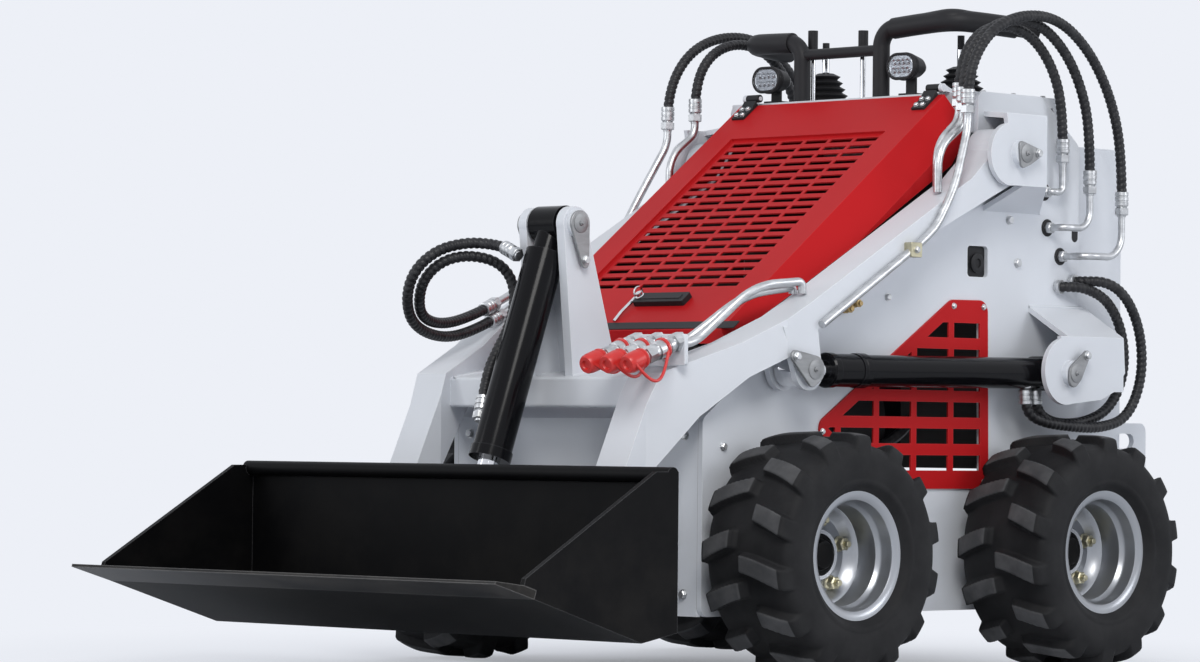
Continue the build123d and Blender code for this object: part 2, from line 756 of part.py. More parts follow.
bar_radius = 17.0
bar_y = 466.0
grab_bar_routes = [
    [(64, bar_y, console_high), (64, bar_y, 1246), (236, bar_y + 14, 1264), (318, 640, 1240)],
    [(-148, bar_y, console_high), (-148, bar_y, 1232), (-282, bar_y + 4, 1236), (-318, 610, 1226)],
]
with BuildPart() as grab_bars:
    for route in grab_bar_routes:
        with BuildLine() as bar_path:
            FilletPolyline(*route, radius=38)
        with BuildSketch(Plane(route[0])):
            Circle(bar_radius)
        sweep(path=bar_path.wire())
    across(grab_bar_routes[1][0][0], grab_bar_routes[0][0][0], (bar_y, 1206), 11)
grab_bars.part.label = "grab_bars"
export_step(grab_bars.part, "parts/grab_bars.step")

boots = [(190, 560, 60), (-170, 560, 64)]    # X, Y and height of each ribbed bellows
boot_ribs = 5
levers = [(-151, 500, 1258), (-15, 500, 1251)]   # X, Y and top of each slim lever
with BuildPart() as hand_controls:
    for x, y, height in boots:
        step = height / boot_ribs
        folds = [(0, 0)]
        for rib in range(boot_ribs):
            radius = 50 - 5.0 * rib
            folds += [(radius - 7, rib * step), (radius, (rib + 0.5) * step)]
        folds += [(16, height), (7, height), (7, height + 62), (0, height + 62)]
        with BuildSketch(Plane(origin=(x, y, console_high), x_dir=(1, 0, 0), z_dir=(0, -1, 0))):
            with BuildLine():
                Polyline(*folds, close=True)
            make_face()
        revolve(axis=Axis((x, y, console_high), (0, 0, 1)))
    for x, y, top in levers:
        with Locations((x, y, (console_high + top) / 2)):
            Cylinder(5, top - console_high)
        with Locations((x, y, top - 24)):
            Cylinder(10, 48)
hand_controls.part.label = "hand_controls"
export_step(hand_controls.part, "parts/hand_controls.step")

# ---- steel tubes, couplers and hoses ------------------------------------------------------------------
def bends(points):
    """Radius at each corner of a route: 0.45 of the shorter run over the tangent of half the turn."""
    radii = []
    for before, corner, after in zip(points, points[1:], points[2:]):
        a = Vector(*corner) - Vector(*before)
        b = Vector(*after) - Vector(*corner)
        radii.append(0.45 * min(a.length, b.length) / tan(radians(a.get_angle(b)) / 2))
    return radii


def tube(points, radius):
    """Round tube along straight runs with tangent arcs, in the part being built."""
    with BuildLine() as route:
        FilletPolyline(*points, radius=bends(points))
    start = Plane(origin=points[0], z_dir=Vector(*points[1]) - Vector(*points[0]))
    with BuildSketch(start) as section:
        Circle(radius)
    sweep(section.sketch, path=route.wire())


boom_hose_x = (352, 376, 400)
boom_hose_routes = {
    352: [(352, 368, 1092), (352, 368, 1150), (352, 410, 1215), (352, 490, 1245), (352, 580, 1230), (352, 648, 1170),
          (352, 680, 1085), (352, 680, 1000)],
    376: [(376, 352, 1082), (376, 352, 1140), (376, 396, 1212), (376, 480, 1252), (376, 580, 1250), (376, 664, 1195),
          (376, 718, 1110), (376, 735, 1020), (376, 735, 940)],
    400: [(400, 338, 1076), (400, 338, 1134), (400, 390, 1214), (400, 480, 1258), (400, 600, 1262), (400, 700, 1205),
          (400, 772, 1110), (400, 805, 1000), (400, 805, 900)],
}
for name, side in sides.items():
    with BuildPart() as boom_hoses:
        for x, route in boom_hose_routes.items():
            if side < 0 and x == 376:
                continue
            tube([(side * px, py, pz) for px, py, pz in route], hose_radius)
    boom_hoses.part.label = f"boom_hoses_{name}"
    export_step(boom_hoses.part, f"parts/{boom_hoses.part.label}.step")

# the pipes that take each boom hose into the side plate, as (hose X, Y, Z, port Y, port Z)
boom_pipes = [(352, 680, 1000, 650, 925), (376, 735, 940, 660, 855), (400, 805, 900, 700, 800)]
with BuildPart() as chassis_pipes:
    for side in sides.values():
        for x, y, z, port_y, port_z in boom_pipes:
            if side < 0 and x == 376:
                continue
            tube([(side * x, y, z), (side * x, y, port_z), (side * x, port_y, port_z),
                  (side * side_outer, port_y, port_z)], 7)
chassis_pipes.part.label = "chassis_pipes"
export_step(chassis_pipes.part, "parts/chassis_pipes.step")

lift_hose_routes = [
    [(side_outer, 690, 740), (348, 690, 740), (366, 735, 740), (374, 800, 715), (374, 845, 650), (374, 850, 570), (374, 805, 500),
     (374, 720, 472), (374, 630, 470), (374, 575, 495), (374, 575, 537)],
    [(side_outer, 735, 752), (352, 735, 752), (392, 775, 752), (398, 830, 720), (398, 872, 650), (398, 876, 560), (398, 830, 482),
     (398, 740, 462), (398, 640, 466), (390, 570, 474), (378, 540, 496), (378, 540, 537)],
]
for name, side in sides.items():
    with BuildPart() as lift_hoses:
        for route in lift_hose_routes:
            tube([(side * px, py, pz) for px, py, pz in route], hose_radius)
    lift_hoses.part.label = f"lift_hoses_{name}"
    export_step(lift_hoses.part, f"parts/{lift_hoses.part.label}.step")

tube_radius = 8.0
side_tube_x = arm_outer + tube_radius + 0.3


def arm_top(y):
    """Height at which an upright tube meets the arm's straight, sloping top edge."""
    slope = (936 - 691) / (337 + 104)
    return 936 - (337 - y) * slope + tube_radius * slope + 0.3


coupler_back = -380.0         # rear face of the block that the couplers stand on
with BuildPart() as boom_tubes:
    for side in sides.values():
        tube([(side * 400, 338, 1076), (side * 400, 338, 1030), (side * side_tube_x, 276, 915),
              (side * side_tube_x, 224, 838), (side * side_tube_x, 180, 806), (side * side_tube_x, -92, 646)],
             tube_radius)
        tube([(side * 352, 368, 1092), (side * 352, 368, 1050), (side * 356, 300, 1000), 
              (side * 356, 300, arm_top(300))], tube_radius)
    tube([(376, 352, 1082), (376, 352, 1040), (380, 276, 990), (380, 276, arm_top(276))], tube_radius)
    tube([(346, -90, arm_top(-90)), (346, -90, 716), (330, -200, 700), (276, -310, 606), (276, coupler_back + 0.3, 606)], tube_radius)
    tube([(370, -90, arm_top(-90)), (370, -90, 726), (354, -200, 716), (312, -318, 606), (312, coupler_back + 0.3, 606)], tube_radius)
    tube([(-353, -90, arm_top(-90)), (-353, -90, 718), (-351, -153, 678), (-345, -184, 666)], tube_radius)
    tube([(-374, -70, arm_top(-70)), (-374, -70, 736), (-352, -168, 699), (-345, -200, 688)], tube_radius)
boom_tubes.part.label = "boom_tubes"
export_step(boom_tubes.part, "parts/boom_tubes.step")

with BuildPart() as couplers:
    for x in (246, 290, 334):
        with Locations(Location((x, coupler_back - 68, 602), (90, 0, 0))):
            Cylinder(13, 120)
    with Locations((290, coupler_back - 4, 594)):
        Box(118, 8, 57)
couplers.part.label = "couplers"
export_step(couplers.part, "parts/couplers.step")

tilt_hose_routes = [
    [(-345, -184, 666), (-330, -261, 637), (-300, -372, 619), (-265, -478, 639), (-235, -527, 686), (-205, -537, 740),
     (-175, -506, 781), (-145, -458, 796), (-110, -430, 794), (-70, -428, 786), (-44, -432, 776)],
    [(-345, -200, 688), (-330, -271, 664), (-300, -371, 646), (-265, -455, 655), (-235, -495, 687), (-205, -509, 729),
     (-175, -491, 761), (-145, -455, 773), (-116, -410, 764), (-98, -385, 735), (-82, -388, 688), (-72, -415, 635),
     (-66, -452, 590), (-62, -480, 549), (-49, -506, 480)],
]
with BuildPart() as tilt_hoses:
    for route in tilt_hose_routes:
        tube(route, hose_radius)
tilt_hoses.part.label = "tilt_hoses"
export_step(tilt_hoses.part, "parts/tilt_hoses.step")
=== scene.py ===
"""Dresses the stand-on skid steer loader: finishes, hoses, tyres, bolts, welds and trim."""
import json
from math import cos, pi, radians, sin

import bpy
import numpy as np
from mathutils import Matrix, Vector


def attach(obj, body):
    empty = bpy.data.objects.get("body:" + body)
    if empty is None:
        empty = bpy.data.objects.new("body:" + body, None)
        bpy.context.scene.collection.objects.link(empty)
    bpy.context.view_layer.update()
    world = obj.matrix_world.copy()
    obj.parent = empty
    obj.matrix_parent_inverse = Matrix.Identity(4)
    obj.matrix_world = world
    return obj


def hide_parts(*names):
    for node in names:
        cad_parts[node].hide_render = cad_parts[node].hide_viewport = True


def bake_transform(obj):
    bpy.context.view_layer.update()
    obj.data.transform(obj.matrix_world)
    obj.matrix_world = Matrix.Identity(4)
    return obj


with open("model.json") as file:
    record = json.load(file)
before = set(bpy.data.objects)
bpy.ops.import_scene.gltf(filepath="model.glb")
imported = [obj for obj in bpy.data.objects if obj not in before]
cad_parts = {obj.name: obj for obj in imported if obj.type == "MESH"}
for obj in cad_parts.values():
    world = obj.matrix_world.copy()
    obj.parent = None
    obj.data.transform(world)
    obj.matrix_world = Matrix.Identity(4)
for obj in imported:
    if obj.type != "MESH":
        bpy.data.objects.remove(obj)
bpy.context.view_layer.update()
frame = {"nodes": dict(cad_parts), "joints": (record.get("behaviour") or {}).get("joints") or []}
nodes = frame["nodes"]
joints = {joint["name"]: joint for joint in frame["joints"]}

# ---- Camera ----
# A long lens at about the height of the tyres' tops, in front of the machine's left side, so that
# the bucket comes nearest and both left wheels show their faces.
turn = radians(45.17)
rise = radians(1.32)
roll = radians(0.58)
stand = Vector((6.2684, -6.4782, 0.4306))
ahead = Vector((-sin(turn) * cos(rise), cos(turn) * cos(rise), sin(rise)))
level = Vector((cos(turn), sin(turn), 0.0))
above = level.cross(ahead)
right_axis = level * cos(roll) + above * sin(roll)
up_axis = above * cos(roll) - level * sin(roll)
camera_data = bpy.data.cameras.new("camera")
camera_data.lens = 141.3
camera_data.sensor_width = 36.0
camera_data.clip_end = 60.0
camera = bpy.data.objects.new("camera", camera_data)
bpy.context.scene.collection.objects.link(camera)
facing = Matrix((right_axis, up_axis, -ahead)).transposed().to_4x4()
camera.matrix_world = Matrix.Translation(stand) @ facing
bpy.context.scene.camera = camera


# ---- Floor and light ----
# A seamless pale floor that fades into the background, one large soft lamp over the front left
# corner, weaker ones at the rear left and the front right, and an even pale sky.
def add_node(tree, kind, feeds=None, **settings):
    """A shader node with its settings; feeds gives inputs a socket to link to or a value."""
    node = tree.nodes.new("ShaderNode" + kind)
    for label, value in settings.items():
        setattr(node, label, value)
    for place, value in (feeds or {}).items():
        if isinstance(value, bpy.types.NodeSocket):
            tree.links.new(value, node.inputs[place])
        else:
            node.inputs[place].default_value = value
    return node


def math(tree, operation, first, second=None, clamp=False):
    """A Math node fed by one or two sockets or numbers; returns its output."""
    feeds = {0: first} if second is None else {0: first, 1: second}
    return add_node(tree, "Math", feeds, operation=operation, use_clamp=clamp).outputs[0]


def ramp(tree, source, low, high):
    """Smooth step of a value from 0 at low to 1 at high."""
    feeds = {"Value": source, "From Min": low, "From Max": high}
    return add_node(tree, "MapRange", feeds, interpolation_type="SMOOTHSTEP").outputs["Result"]


def new_finish(name, values):
    """A material with constants on its shader's inputs, as (material, tree, those inputs)."""
    finish = bpy.data.materials.new(name)
    finish.use_nodes = True
    sockets = finish.node_tree.nodes["Principled BSDF"].inputs
    for label, value in values.items():
        sockets[label].default_value = value
    return finish, finish.node_tree, sockets


bpy.context.scene.view_settings.view_transform = "Standard"
backdrop_colour = (0.847, 0.871, 0.930, 1.0)
room_colour = (0.86, 0.89, 0.95, 1.0)
room_strength = 0.50
world = bpy.data.worlds.new("studio")
bpy.context.scene.world = world
world.use_nodes = True
sky = world.node_tree
sky.nodes.clear()
rays = add_node(sky, "LightPath").outputs
mirrored = math(sky, "ADD", rays["Is Glossy Ray"], rays["Is Transmission Ray"])
seen = math(sky, "ADD", rays["Is Camera Ray"], mirrored, True)
room = add_node(sky, "Background", {"Color": room_colour, "Strength": room_strength})
backdrop = add_node(sky, "Background", {"Color": backdrop_colour, "Strength": 1.0})
mixed = add_node(sky, "MixShader", {0: seen, 1: room.outputs[0], 2: backdrop.outputs[0]})
add_node(sky, "OutputWorld", {"Surface": mixed.outputs[0]})

for name, place, aim, size, power, tint in (
    ("key lamp", (3.6, -3.2, 4.2), (0.0, 0.0, 0.5), 2.6, 165.0, (1.0, 0.99, 0.97)),
    ("side lamp", (4.6, 2.6, 2.4), (0.0, 0.2, 0.6), 2.2, 48.0, (0.95, 0.97, 1.0)),
    ("front lamp", (-2.6, -4.6, 2.0), (0.0, -0.3, 0.5), 2.2, 42.0, (0.96, 0.98, 1.0)),
):
    lamp_data = bpy.data.lights.new(name, "AREA")
    lamp_data.shape = "DISK"
    lamp_data.size = size
    lamp_data.energy = power
    lamp_data.color = tint
    lamp = bpy.data.objects.new(name, lamp_data)
    lamp.location = place
    lamp.rotation_euler = (Vector(aim) - Vector(place)).to_track_quat("-Z", "Y").to_euler()
    bpy.context.scene.collection.objects.link(lamp)

# the floor turns from lit to plain backdrop colour with distance, for camera rays alone
floor_half = 14.0
fade_from, fade_to = -0.9, 2.0   # metres from the middle, where a start below 0 leaves some fade
floor_mesh = bpy.data.meshes.new("floor")
floor_mesh.from_pydata([(x * floor_half, y * floor_half, 0.0)
                        for x, y in ((-1, -1), (1, -1), (1, 1), (-1, 1))], [], [(0, 1, 2, 3)])
floor = bpy.data.objects.new("floor", floor_mesh)
bpy.context.scene.collection.objects.link(floor)
floor_finish, tree, _ = new_finish("pale floor", {"Base Color": (0.86, 0.885, 0.93, 1.0),
                                                  "Roughness": 0.75})
spot = add_node(tree, "TexCoord").outputs["Object"]
distance = add_node(tree, "VectorMath", {0: spot}, operation="LENGTH").outputs["Value"]
direct = add_node(tree, "LightPath").outputs["Is Camera Ray"]
faded = math(tree, "MULTIPLY", ramp(tree, distance, fade_from, fade_to), direct)
glow = add_node(tree, "Emission", {"Color": backdrop_colour}).outputs["Emission"]
lit = tree.nodes["Principled BSDF"].outputs["BSDF"]
mixed = add_node(tree, "MixShader", {0: faded, 1: lit, 2: glow}).outputs["Shader"]
tree.links.new(mixed, tree.nodes["Material Output"].inputs["Surface"])
floor_mesh.materials.append(floor_finish)


# ---- Painted plates ----
# Laser-cut and folded steel plate under a powder coat: pale bluish white on the chassis and arms,
# red on the hood and side grilles, black on the bucket. The coat has a fine orange peel, catches
# the light along its edges, and carries a little dust low down.
def group_of(name, inputs, outputs):
    """A node group of float sockets, as (group, its input node's sockets, its output node's)."""
    group = bpy.data.node_groups.new(name, "ShaderNodeTree")
    for label, default in inputs.items():
        group.interface.new_socket(name=label, in_out="INPUT",
                                   socket_type="NodeSocketFloat").default_value = default
    for label in outputs:
        group.interface.new_socket(name=label, in_out="OUTPUT", socket_type="NodeSocketFloat")
    return (group, group.nodes.new("NodeGroupInput").outputs,
            group.nodes.new("NodeGroupOutput").inputs)


def noise(tree, scale, detail=4.0, rough=0.55, stretch=None):
    """Noise on Object coordinates, scaled by three factors if given; returns the Fac output."""
    spot = add_node(tree, "TexCoord").outputs["Object"]
    if stretch:
        spot = add_node(tree, "Mapping", {"Vector": spot, "Scale": stretch}).outputs["Vector"]
    feeds = {"Vector": spot, "Scale": scale, "Detail": detail, "Roughness": rough}
    return add_node(tree, "TexNoise", feeds).outputs["Fac"]


def blend_colour(tree, mask, first, second):
    """Mixes two colours, each a socket or three numbers, by a mask socket; returns the result."""
    first, second = ((*value, 1.0) if isinstance(value, tuple) else value
                     for value in (first, second))
    # a Mix node keeps its colours in inputs 6 and 7 and in output 2
    return add_node(tree, "Mix", {0: mask, 6: first, 7: second}, data_type="RGBA").outputs[2]


# how far a surface's rounded-corner normal leans away from its flat one: 1 on a sharp edge
edge_group, edge_in, edge_out = group_of("edge line", {"Width": 0.003}, ["Mask"])
rounded = add_node(edge_group, "Bevel", {"Radius": edge_in["Width"]}, samples=4)
flat = add_node(edge_group, "NewGeometry")
level_share = add_node(edge_group, "VectorMath", {0: rounded.outputs["Normal"],
                                                  1: flat.outputs["Normal"]},
                       operation="DOT_PRODUCT").outputs["Value"]
lean = math(edge_group, "SUBTRACT", 1.0, level_share)
edge_group.links.new(ramp(edge_group, lean, 0.02, 0.16), edge_out["Mask"])

# dust that gathers in patches low on the machine, none of it above dust_top metres
dust_top = 0.45
dust_group, dust_in, dust_out = group_of("dust", {"Amount": 0.5}, ["Mask"])
spot = add_node(dust_group, "TexCoord").outputs["Object"]
up = add_node(dust_group, "SeparateXYZ", {0: spot}).outputs["Z"]
low_down = math(dust_group, "SUBTRACT", 1.0, math(dust_group, "DIVIDE", up, dust_top, True), True)
patchy = ramp(dust_group, noise(dust_group, 9.0, 6.0, 0.65), 0.35, 0.7)
dusted = math(dust_group, "MULTIPLY", low_down, patchy)
dust_group.links.new(math(dust_group, "MULTIPLY", dusted, dust_in["Amount"], True),
                     dust_out["Mask"])

# the coat's orange peel, as a bump height, and its slow unevenness
peel_group, _, peel_out = group_of("orange peel", {}, ["Height", "Cloud"])
peel_group.links.new(noise(peel_group, 420.0, 2.0, 0.5), peel_out["Height"])
peel_group.links.new(noise(peel_group, 3.0, 3.0, 0.5), peel_out["Cloud"])


def use_group(tree, group, **values):
    """Places a node group in a material with its own input values; returns its outputs."""
    return add_node(tree, "Group", values, node_tree=group).outputs


def bump(tree, height, strength, distance, sockets):
    """Feeds a height into a shader's normal through a Bump node."""
    feeds = {"Strength": strength, "Distance": distance, "Height": height}
    tree.links.new(add_node(tree, "Bump", feeds).outputs["Normal"], sockets["Normal"])


bay_shade_half = 0.3185   # X where the bay's painted shade ends, just inside the side plates' sheet
bay_shade_rear = 0.7178   # Y where it ends, just past the rear body's front face
# the colour of the painted shade on the faces inside the engine bay
bay_shade_colour = (0.05, 0.05, 0.052)
dust_colour = (0.42, 0.38, 0.33)


def powder_coat(name, colour, edge_highlight_colour, rough, dusty, coat=0.0, shade=0.93, width=0.003,
                shine=0.3, metal=0.0, bay=False):
    """Paint whose colour drifts a little, has a painted highlight along edges and carries dust near
    the ground.

    With bay, the faces between the side plates and ahead of the rear body are painted dark, a
    painted shade for the inside of the engine bay.
    """
    finish, tree, sockets = new_finish(name, {
        "Roughness": rough, "Metallic": metal, "Coat Weight": coat, "Coat Roughness": 0.12,
        "Specular IOR Level": shine})
    peel = use_group(tree, peel_group)
    deep = tuple(channel * shade for channel in colour)
    paint_colour = blend_colour(tree, ramp(tree, peel["Cloud"], 0.3, 0.7), deep, colour)
    edge = math(tree, "MULTIPLY", use_group(tree, edge_group, Width=width)["Mask"], 0.7)
    # a painted highlight: edges take a lighter colour
    paint_colour = blend_colour(tree, edge, paint_colour, edge_highlight_colour)
    # painted shade: the faces inside the engine bay take a dark colour
    if bay:
        spot = add_node(tree, "TexCoord").outputs["Object"]
        split = add_node(tree, "SeparateXYZ", {0: spot}).outputs
        across = math(tree, "ABSOLUTE", split["X"])
        between = math(tree, "LESS_THAN", across, bay_shade_half)
        in_front = math(tree, "LESS_THAN", split["Y"], bay_shade_rear)
        inside = math(tree, "MULTIPLY", between, in_front)
        paint_colour = blend_colour(tree, inside, paint_colour, bay_shade_colour)
    dust = use_group(tree, dust_group, Amount=dusty)["Mask"]
    tree.links.new(blend_colour(tree, dust, paint_colour, dust_colour), sockets["Base Color"])
    tree.links.new(math(tree, "ADD", rough, math(tree, "MULTIPLY", dust, 0.35)),
                   sockets["Roughness"])
    bump(tree, peel["Height"], 0.12, 0.0006, sockets)
    return finish


def paint(finish, *names):
    """Gives CAD nodes a finish in place of their plain slot."""
    for name in names:
        mesh = nodes[name].data
        mesh.materials.clear()
        mesh.materials.append(finish)


pale, pale_edge_highlight = (0.72, 0.745, 0.79), (0.90, 0.915, 0.94)
white_coat = powder_coat("pale chassis coat", pale, pale_edge_highlight, 0.36, 0.10)
# the side plates, belly and rear body carry painted shade on their faces inside the bay
coat_with_bay_shade = powder_coat("chassis coat with painted shade in its bay", pale, pale_edge_highlight, 0.36, 0.10, bay=True)
red_coat = powder_coat("red hood coat", (0.50, 0.012, 0.015), (0.62, 0.05, 0.05), 0.46, 0.0,
                       coat=0.03, shine=0.09)
black_coat = powder_coat("black bucket coat", (0.0035, 0.0035, 0.004), (0.12, 0.12, 0.125), 0.46,
                         0.02, width=0.002, shine=0.07)
paint(coat_with_bay_shade, "chassis_side_left", "chassis_side_right", "belly_plate", "rear_body")
paint(white_coat, "front_plate", "console", "tower_plate_left", "tower_plate_right", "arm_left",
      "arm_right", "crossmember", "tilt_bracket")
paint(red_coat, "hood_panel", "hood_grille", "side_grille_left", "side_grille_right")
paint(black_coat, "attach_plate", "platform", "bucket_shell", "axle_front", "axle_rear")


# ---- Bright and black metal ----
# Chromed rods, zinc-plated pipes and couplers, gloss black barrels, the plain cast engine block,
# the bucket's cutting edge, and the black plastic of the fittings, levers, bars and lamps.
def plated(name, colour, rough, streak, scale):
    """Metal whose roughness and colour vary in soft streaks."""
    finish, tree, sockets = new_finish(name, {"Roughness": rough, "Metallic": 1.0})
    grain = noise(tree, scale, 5.0, 0.6, (1.0, 0.25, 1.0))
    dull = tuple(channel * 0.72 for channel in colour)
    tree.links.new(blend_colour(tree, ramp(tree, grain, 0.3, 0.75), dull, colour),
                   sockets["Base Color"])
    tree.links.new(math(tree, "ADD", rough, math(tree, "MULTIPLY", grain, streak)),
                   sockets["Roughness"])
    bump(tree, grain, 0.08, 0.0004, sockets)
    return finish


chrome = plated("chromed rod", (0.86, 0.87, 0.89), 0.05, 0.06, 30.0)
tie_zinc = plated("yellow zinc plate", (0.60, 0.56, 0.40), 0.30, 0.2, 70.0)
zinc = plated("zinc plate", (0.66, 0.67, 0.68), 0.24, 0.25, 90.0)
cast = plated("cast engine", (0.012, 0.012, 0.014), 0.55, 0.3, 25.0)
gloss_black = powder_coat("gloss black barrel", (0.004, 0.004, 0.005), (0.04, 0.04, 0.045), 0.16,
                          0.0, coat=0.14, shine=0.08)
black_plastic = powder_coat("black plastic", (0.018, 0.018, 0.020), (0.04, 0.04, 0.04), 0.5, 0.0,
                            shine=0.22)
edge_black = powder_coat("black cutting edge", (0.006, 0.006, 0.0065), (0.22, 0.215, 0.21), 0.36,
                         0.10, shine=0.12)
paint(chrome, "lift_left_rod", "lift_right_rod", "tilt_rod")
paint(zinc, "boom_tubes", "chassis_pipes")
paint(cast, "engine", "engine_cradle")
paint(gloss_black, "lift_left_barrel", "lift_right_barrel", "tilt_barrel")
paint(edge_black, "cutting_edge")
paint(black_plastic, "hood_fittings", "hand_controls", "grab_bars", "work_lamps")

# ---- Tyres ----
# Moulded rubber carcass with curved bars that alternate from the two shoulders and meet past the
# middle of the tread, a plain sidewall with a rim-guard rib, and a bead seated behind the flange.
tyre_rubber, tree, sockets = new_finish("tyre rubber", {"Roughness": 0.66,
                                                        "Specular IOR Level": 0.22})
bar_top = add_node(tree, "Attribute", attribute_name="bar").outputs["Fac"]
valley = blend_colour(tree, ramp(tree, noise(tree, 14.0, 5.0, 0.6), 0.3, 0.75),
                      (0.007, 0.007, 0.008), (0.016, 0.016, 0.017))
# the bars' tops are painted lighter than the grooves, a painted sheen
sheen_on_bars = blend_colour(tree, ramp(tree, noise(tree, 22.0, 5.0, 0.6), 0.3, 0.75),
                     (0.052, 0.053, 0.056), (0.092, 0.092, 0.095))
tree.links.new(blend_colour(tree, ramp(tree, bar_top, 0.82, 0.99), valley, sheen_on_bars),
               sockets["Base Color"])
bump(tree, noise(tree, 130.0, 6.0, 0.7), 0.25, 0.0008, sockets)


def smooth(value, low, high):
    """0 below low, 1 above high, an S-curve between."""
    t = np.clip((value - low) / (high - low), 0.0, 1.0)
    return t * t * (3.0 - 2.0 * t)


def filled_mesh(name, points, corners, counts):
    """A smooth mesh of points [n, 3] in metres, the faces' corners and their count by face."""
    mesh = bpy.data.meshes.new(name)
    mesh.vertices.add(len(points))
    mesh.vertices.foreach_set("co", points.reshape(-1).astype(np.float32))
    mesh.loops.add(len(corners))
    mesh.loops.foreach_set("vertex_index", corners.astype(np.int32))
    mesh.polygons.add(len(counts))
    mesh.polygons.foreach_set("loop_start", (np.cumsum(counts) - counts).astype(np.int32))
    mesh.update(calc_edges=True)
    mesh.polygons.foreach_set("use_smooth", np.ones(len(counts), dtype=bool))
    return mesh


def looped_mesh(name, points):
    """A mesh from an array of points [u, v, 3], joined end to end both in u and in v."""
    rows, columns = points.shape[:2]
    index = np.arange(rows * columns).reshape(rows, columns)
    index = np.vstack([index, index[:1]])
    index = np.hstack([index, index[:, :1]])
    quads = np.stack([index[:-1, :-1], index[1:, :-1], index[1:, 1:], index[:-1, 1:]], -1)
    return filled_mesh(name, points.reshape(-1, 3), quads.reshape(-1), np.full(rows * columns, 4))


def place_piece(name, mesh, finish, body, slot, *replaced):
    """Links a mesh as a piece that rides on a body, if any, and may stand for CAD nodes."""
    mesh.materials.append(finish)
    piece = bpy.data.objects.new(name, mesh)
    bpy.context.scene.collection.objects.link(piece)
    if body:
        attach(piece, body)
    if replaced:
        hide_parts(*replaced)
    return piece


sides = (("left", 1), ("right", -1))
corners_of_wheels = [(f"{end}_{side_name}", side) for end in ("front", "rear")
                     for side_name, side in sides]
tyre_around, tyre_across = 504, 92   # points round the axle and over the section
tyre_radius = 0.225                  # over the bars at mid-tread
tread_radius = 0.2075                # between the bars
tyre_half = 0.107                    # half the width of the carcass
tyre_limit = 0.1076                  # the farthest anything reaches from mid-tread
bars_a_side = 14
bar_pitch = 2.0 * pi / bars_a_side
bar_width = 0.029
bar_sweep = 0.36                     # share of a pitch that a bar runs ahead by at mid-tread
rib_radius, rib_width, rib_height = 0.133, 0.0035, 0.0028


def tyre_points():
    """Points [u, v, 3] about the X axis and how much each is on top of a bar, 0 to 1.

    u turns round the axle and v runs across from bead to bead. The section is a rounded box, its
    corners eased by averaging neighbours. Reach is 0 at mid-tread and 1 at a shoulder. A bar stands
    where a point lies within half a bar_width, grown by a quarter towards the shoulder, of a curve
    that runs ahead by bar_sweep (1 - reach^1.4) of a pitch; bars of the far side start half a pitch
    on. Every other bar stops short of mid-tread. Bars stand up to tyre_radius, less 10 mm at the
    shoulder. A rib, exp(-((radius - rib_radius) / rib_width)^2) high, rings each sidewall.
    """
    # half the section, as distance from the axle and place across
    key_r = np.array([0.104, 0.108, 0.118, 0.128, 0.150, 0.172, 0.190, 0.2005,
                      tread_radius - 0.002, tread_radius])
    key_x = np.array([0.084, 0.0850, 0.0865, 0.0985, tyre_half - 0.002, tyre_half - 0.001, 0.1035,
                      0.094, 0.070, 0.0])
    run = np.concatenate([[0.0], np.cumsum(np.hypot(np.diff(key_r), np.diff(key_x)))])
    stations = np.linspace(0.0, run[-1], tyre_across // 2)
    r_half = np.interp(stations, run, key_r)
    x_half = np.interp(stations, run, key_x)
    for _ in range(3):
        for half in (r_half, x_half):
            half[1:-1] = (half[:-2] + 2.0 * half[1:-1] + half[2:]) / 4.0
    section_r = np.concatenate([r_half, r_half[-2::-1]])
    section_x = np.concatenate([-x_half, x_half[-2::-1]])
    turns = np.linspace(0.0, 2.0 * pi, tyre_around, endpoint=False)[:, None]
    r = np.broadcast_to(section_r, (tyre_around, len(section_r))).copy()
    x = np.broadcast_to(section_x, r.shape).copy()
    rise = np.zeros_like(r)
    for side in (-1.0, 1.0):
        reach = x * side / tyre_half
        outward = np.clip(reach, 0.0, 1.0)
        lead = bar_sweep * bar_pitch * (1.0 - outward ** 1.4)
        lead = lead + (0.5 * bar_pitch if side > 0 else 0.0)
        phase = (turns + lead) / bar_pitch
        long_bar = (np.floor(phase + 0.5).astype(int) % 2) == 0
        off = (phase + 0.5) % 1.0 - 0.5
        distance = np.abs(off) * bar_pitch * tread_radius
        inner_end = np.where(long_bar, -0.06, 0.16)
        along = smooth(reach, inner_end, inner_end + 0.10) * smooth(r, 0.187, 0.1995)
        width = bar_width / 2.0 * (1.0 + 0.25 * outward)
        rise = np.maximum(rise, (1.0 - smooth(distance, width - 0.001, width + 0.0045)) * along)
    shoulder = np.abs(x) / tyre_half
    bar_height = tyre_radius - tread_radius
    top_r = np.minimum(tyre_radius - 0.010 * smooth(shoulder, 0.86, 1.0), r + bar_height)
    r = r + rise * np.maximum(top_r - r, 0.004)
    x = x + np.sign(x) * rise * 0.0035 * smooth(shoulder, 0.8, 0.97)
    rib = np.exp(-((section_r - rib_radius) / rib_width) ** 2) * (section_r < 0.16)
    x = np.clip(x + np.sign(x) * rib * rib_height, -tyre_limit, tyre_limit)
    on_top = rise * (1.0 - smooth(np.abs(x), 0.088, 0.102))
    return np.stack([x, r * np.cos(turns), r * np.sin(turns)], -1), on_top


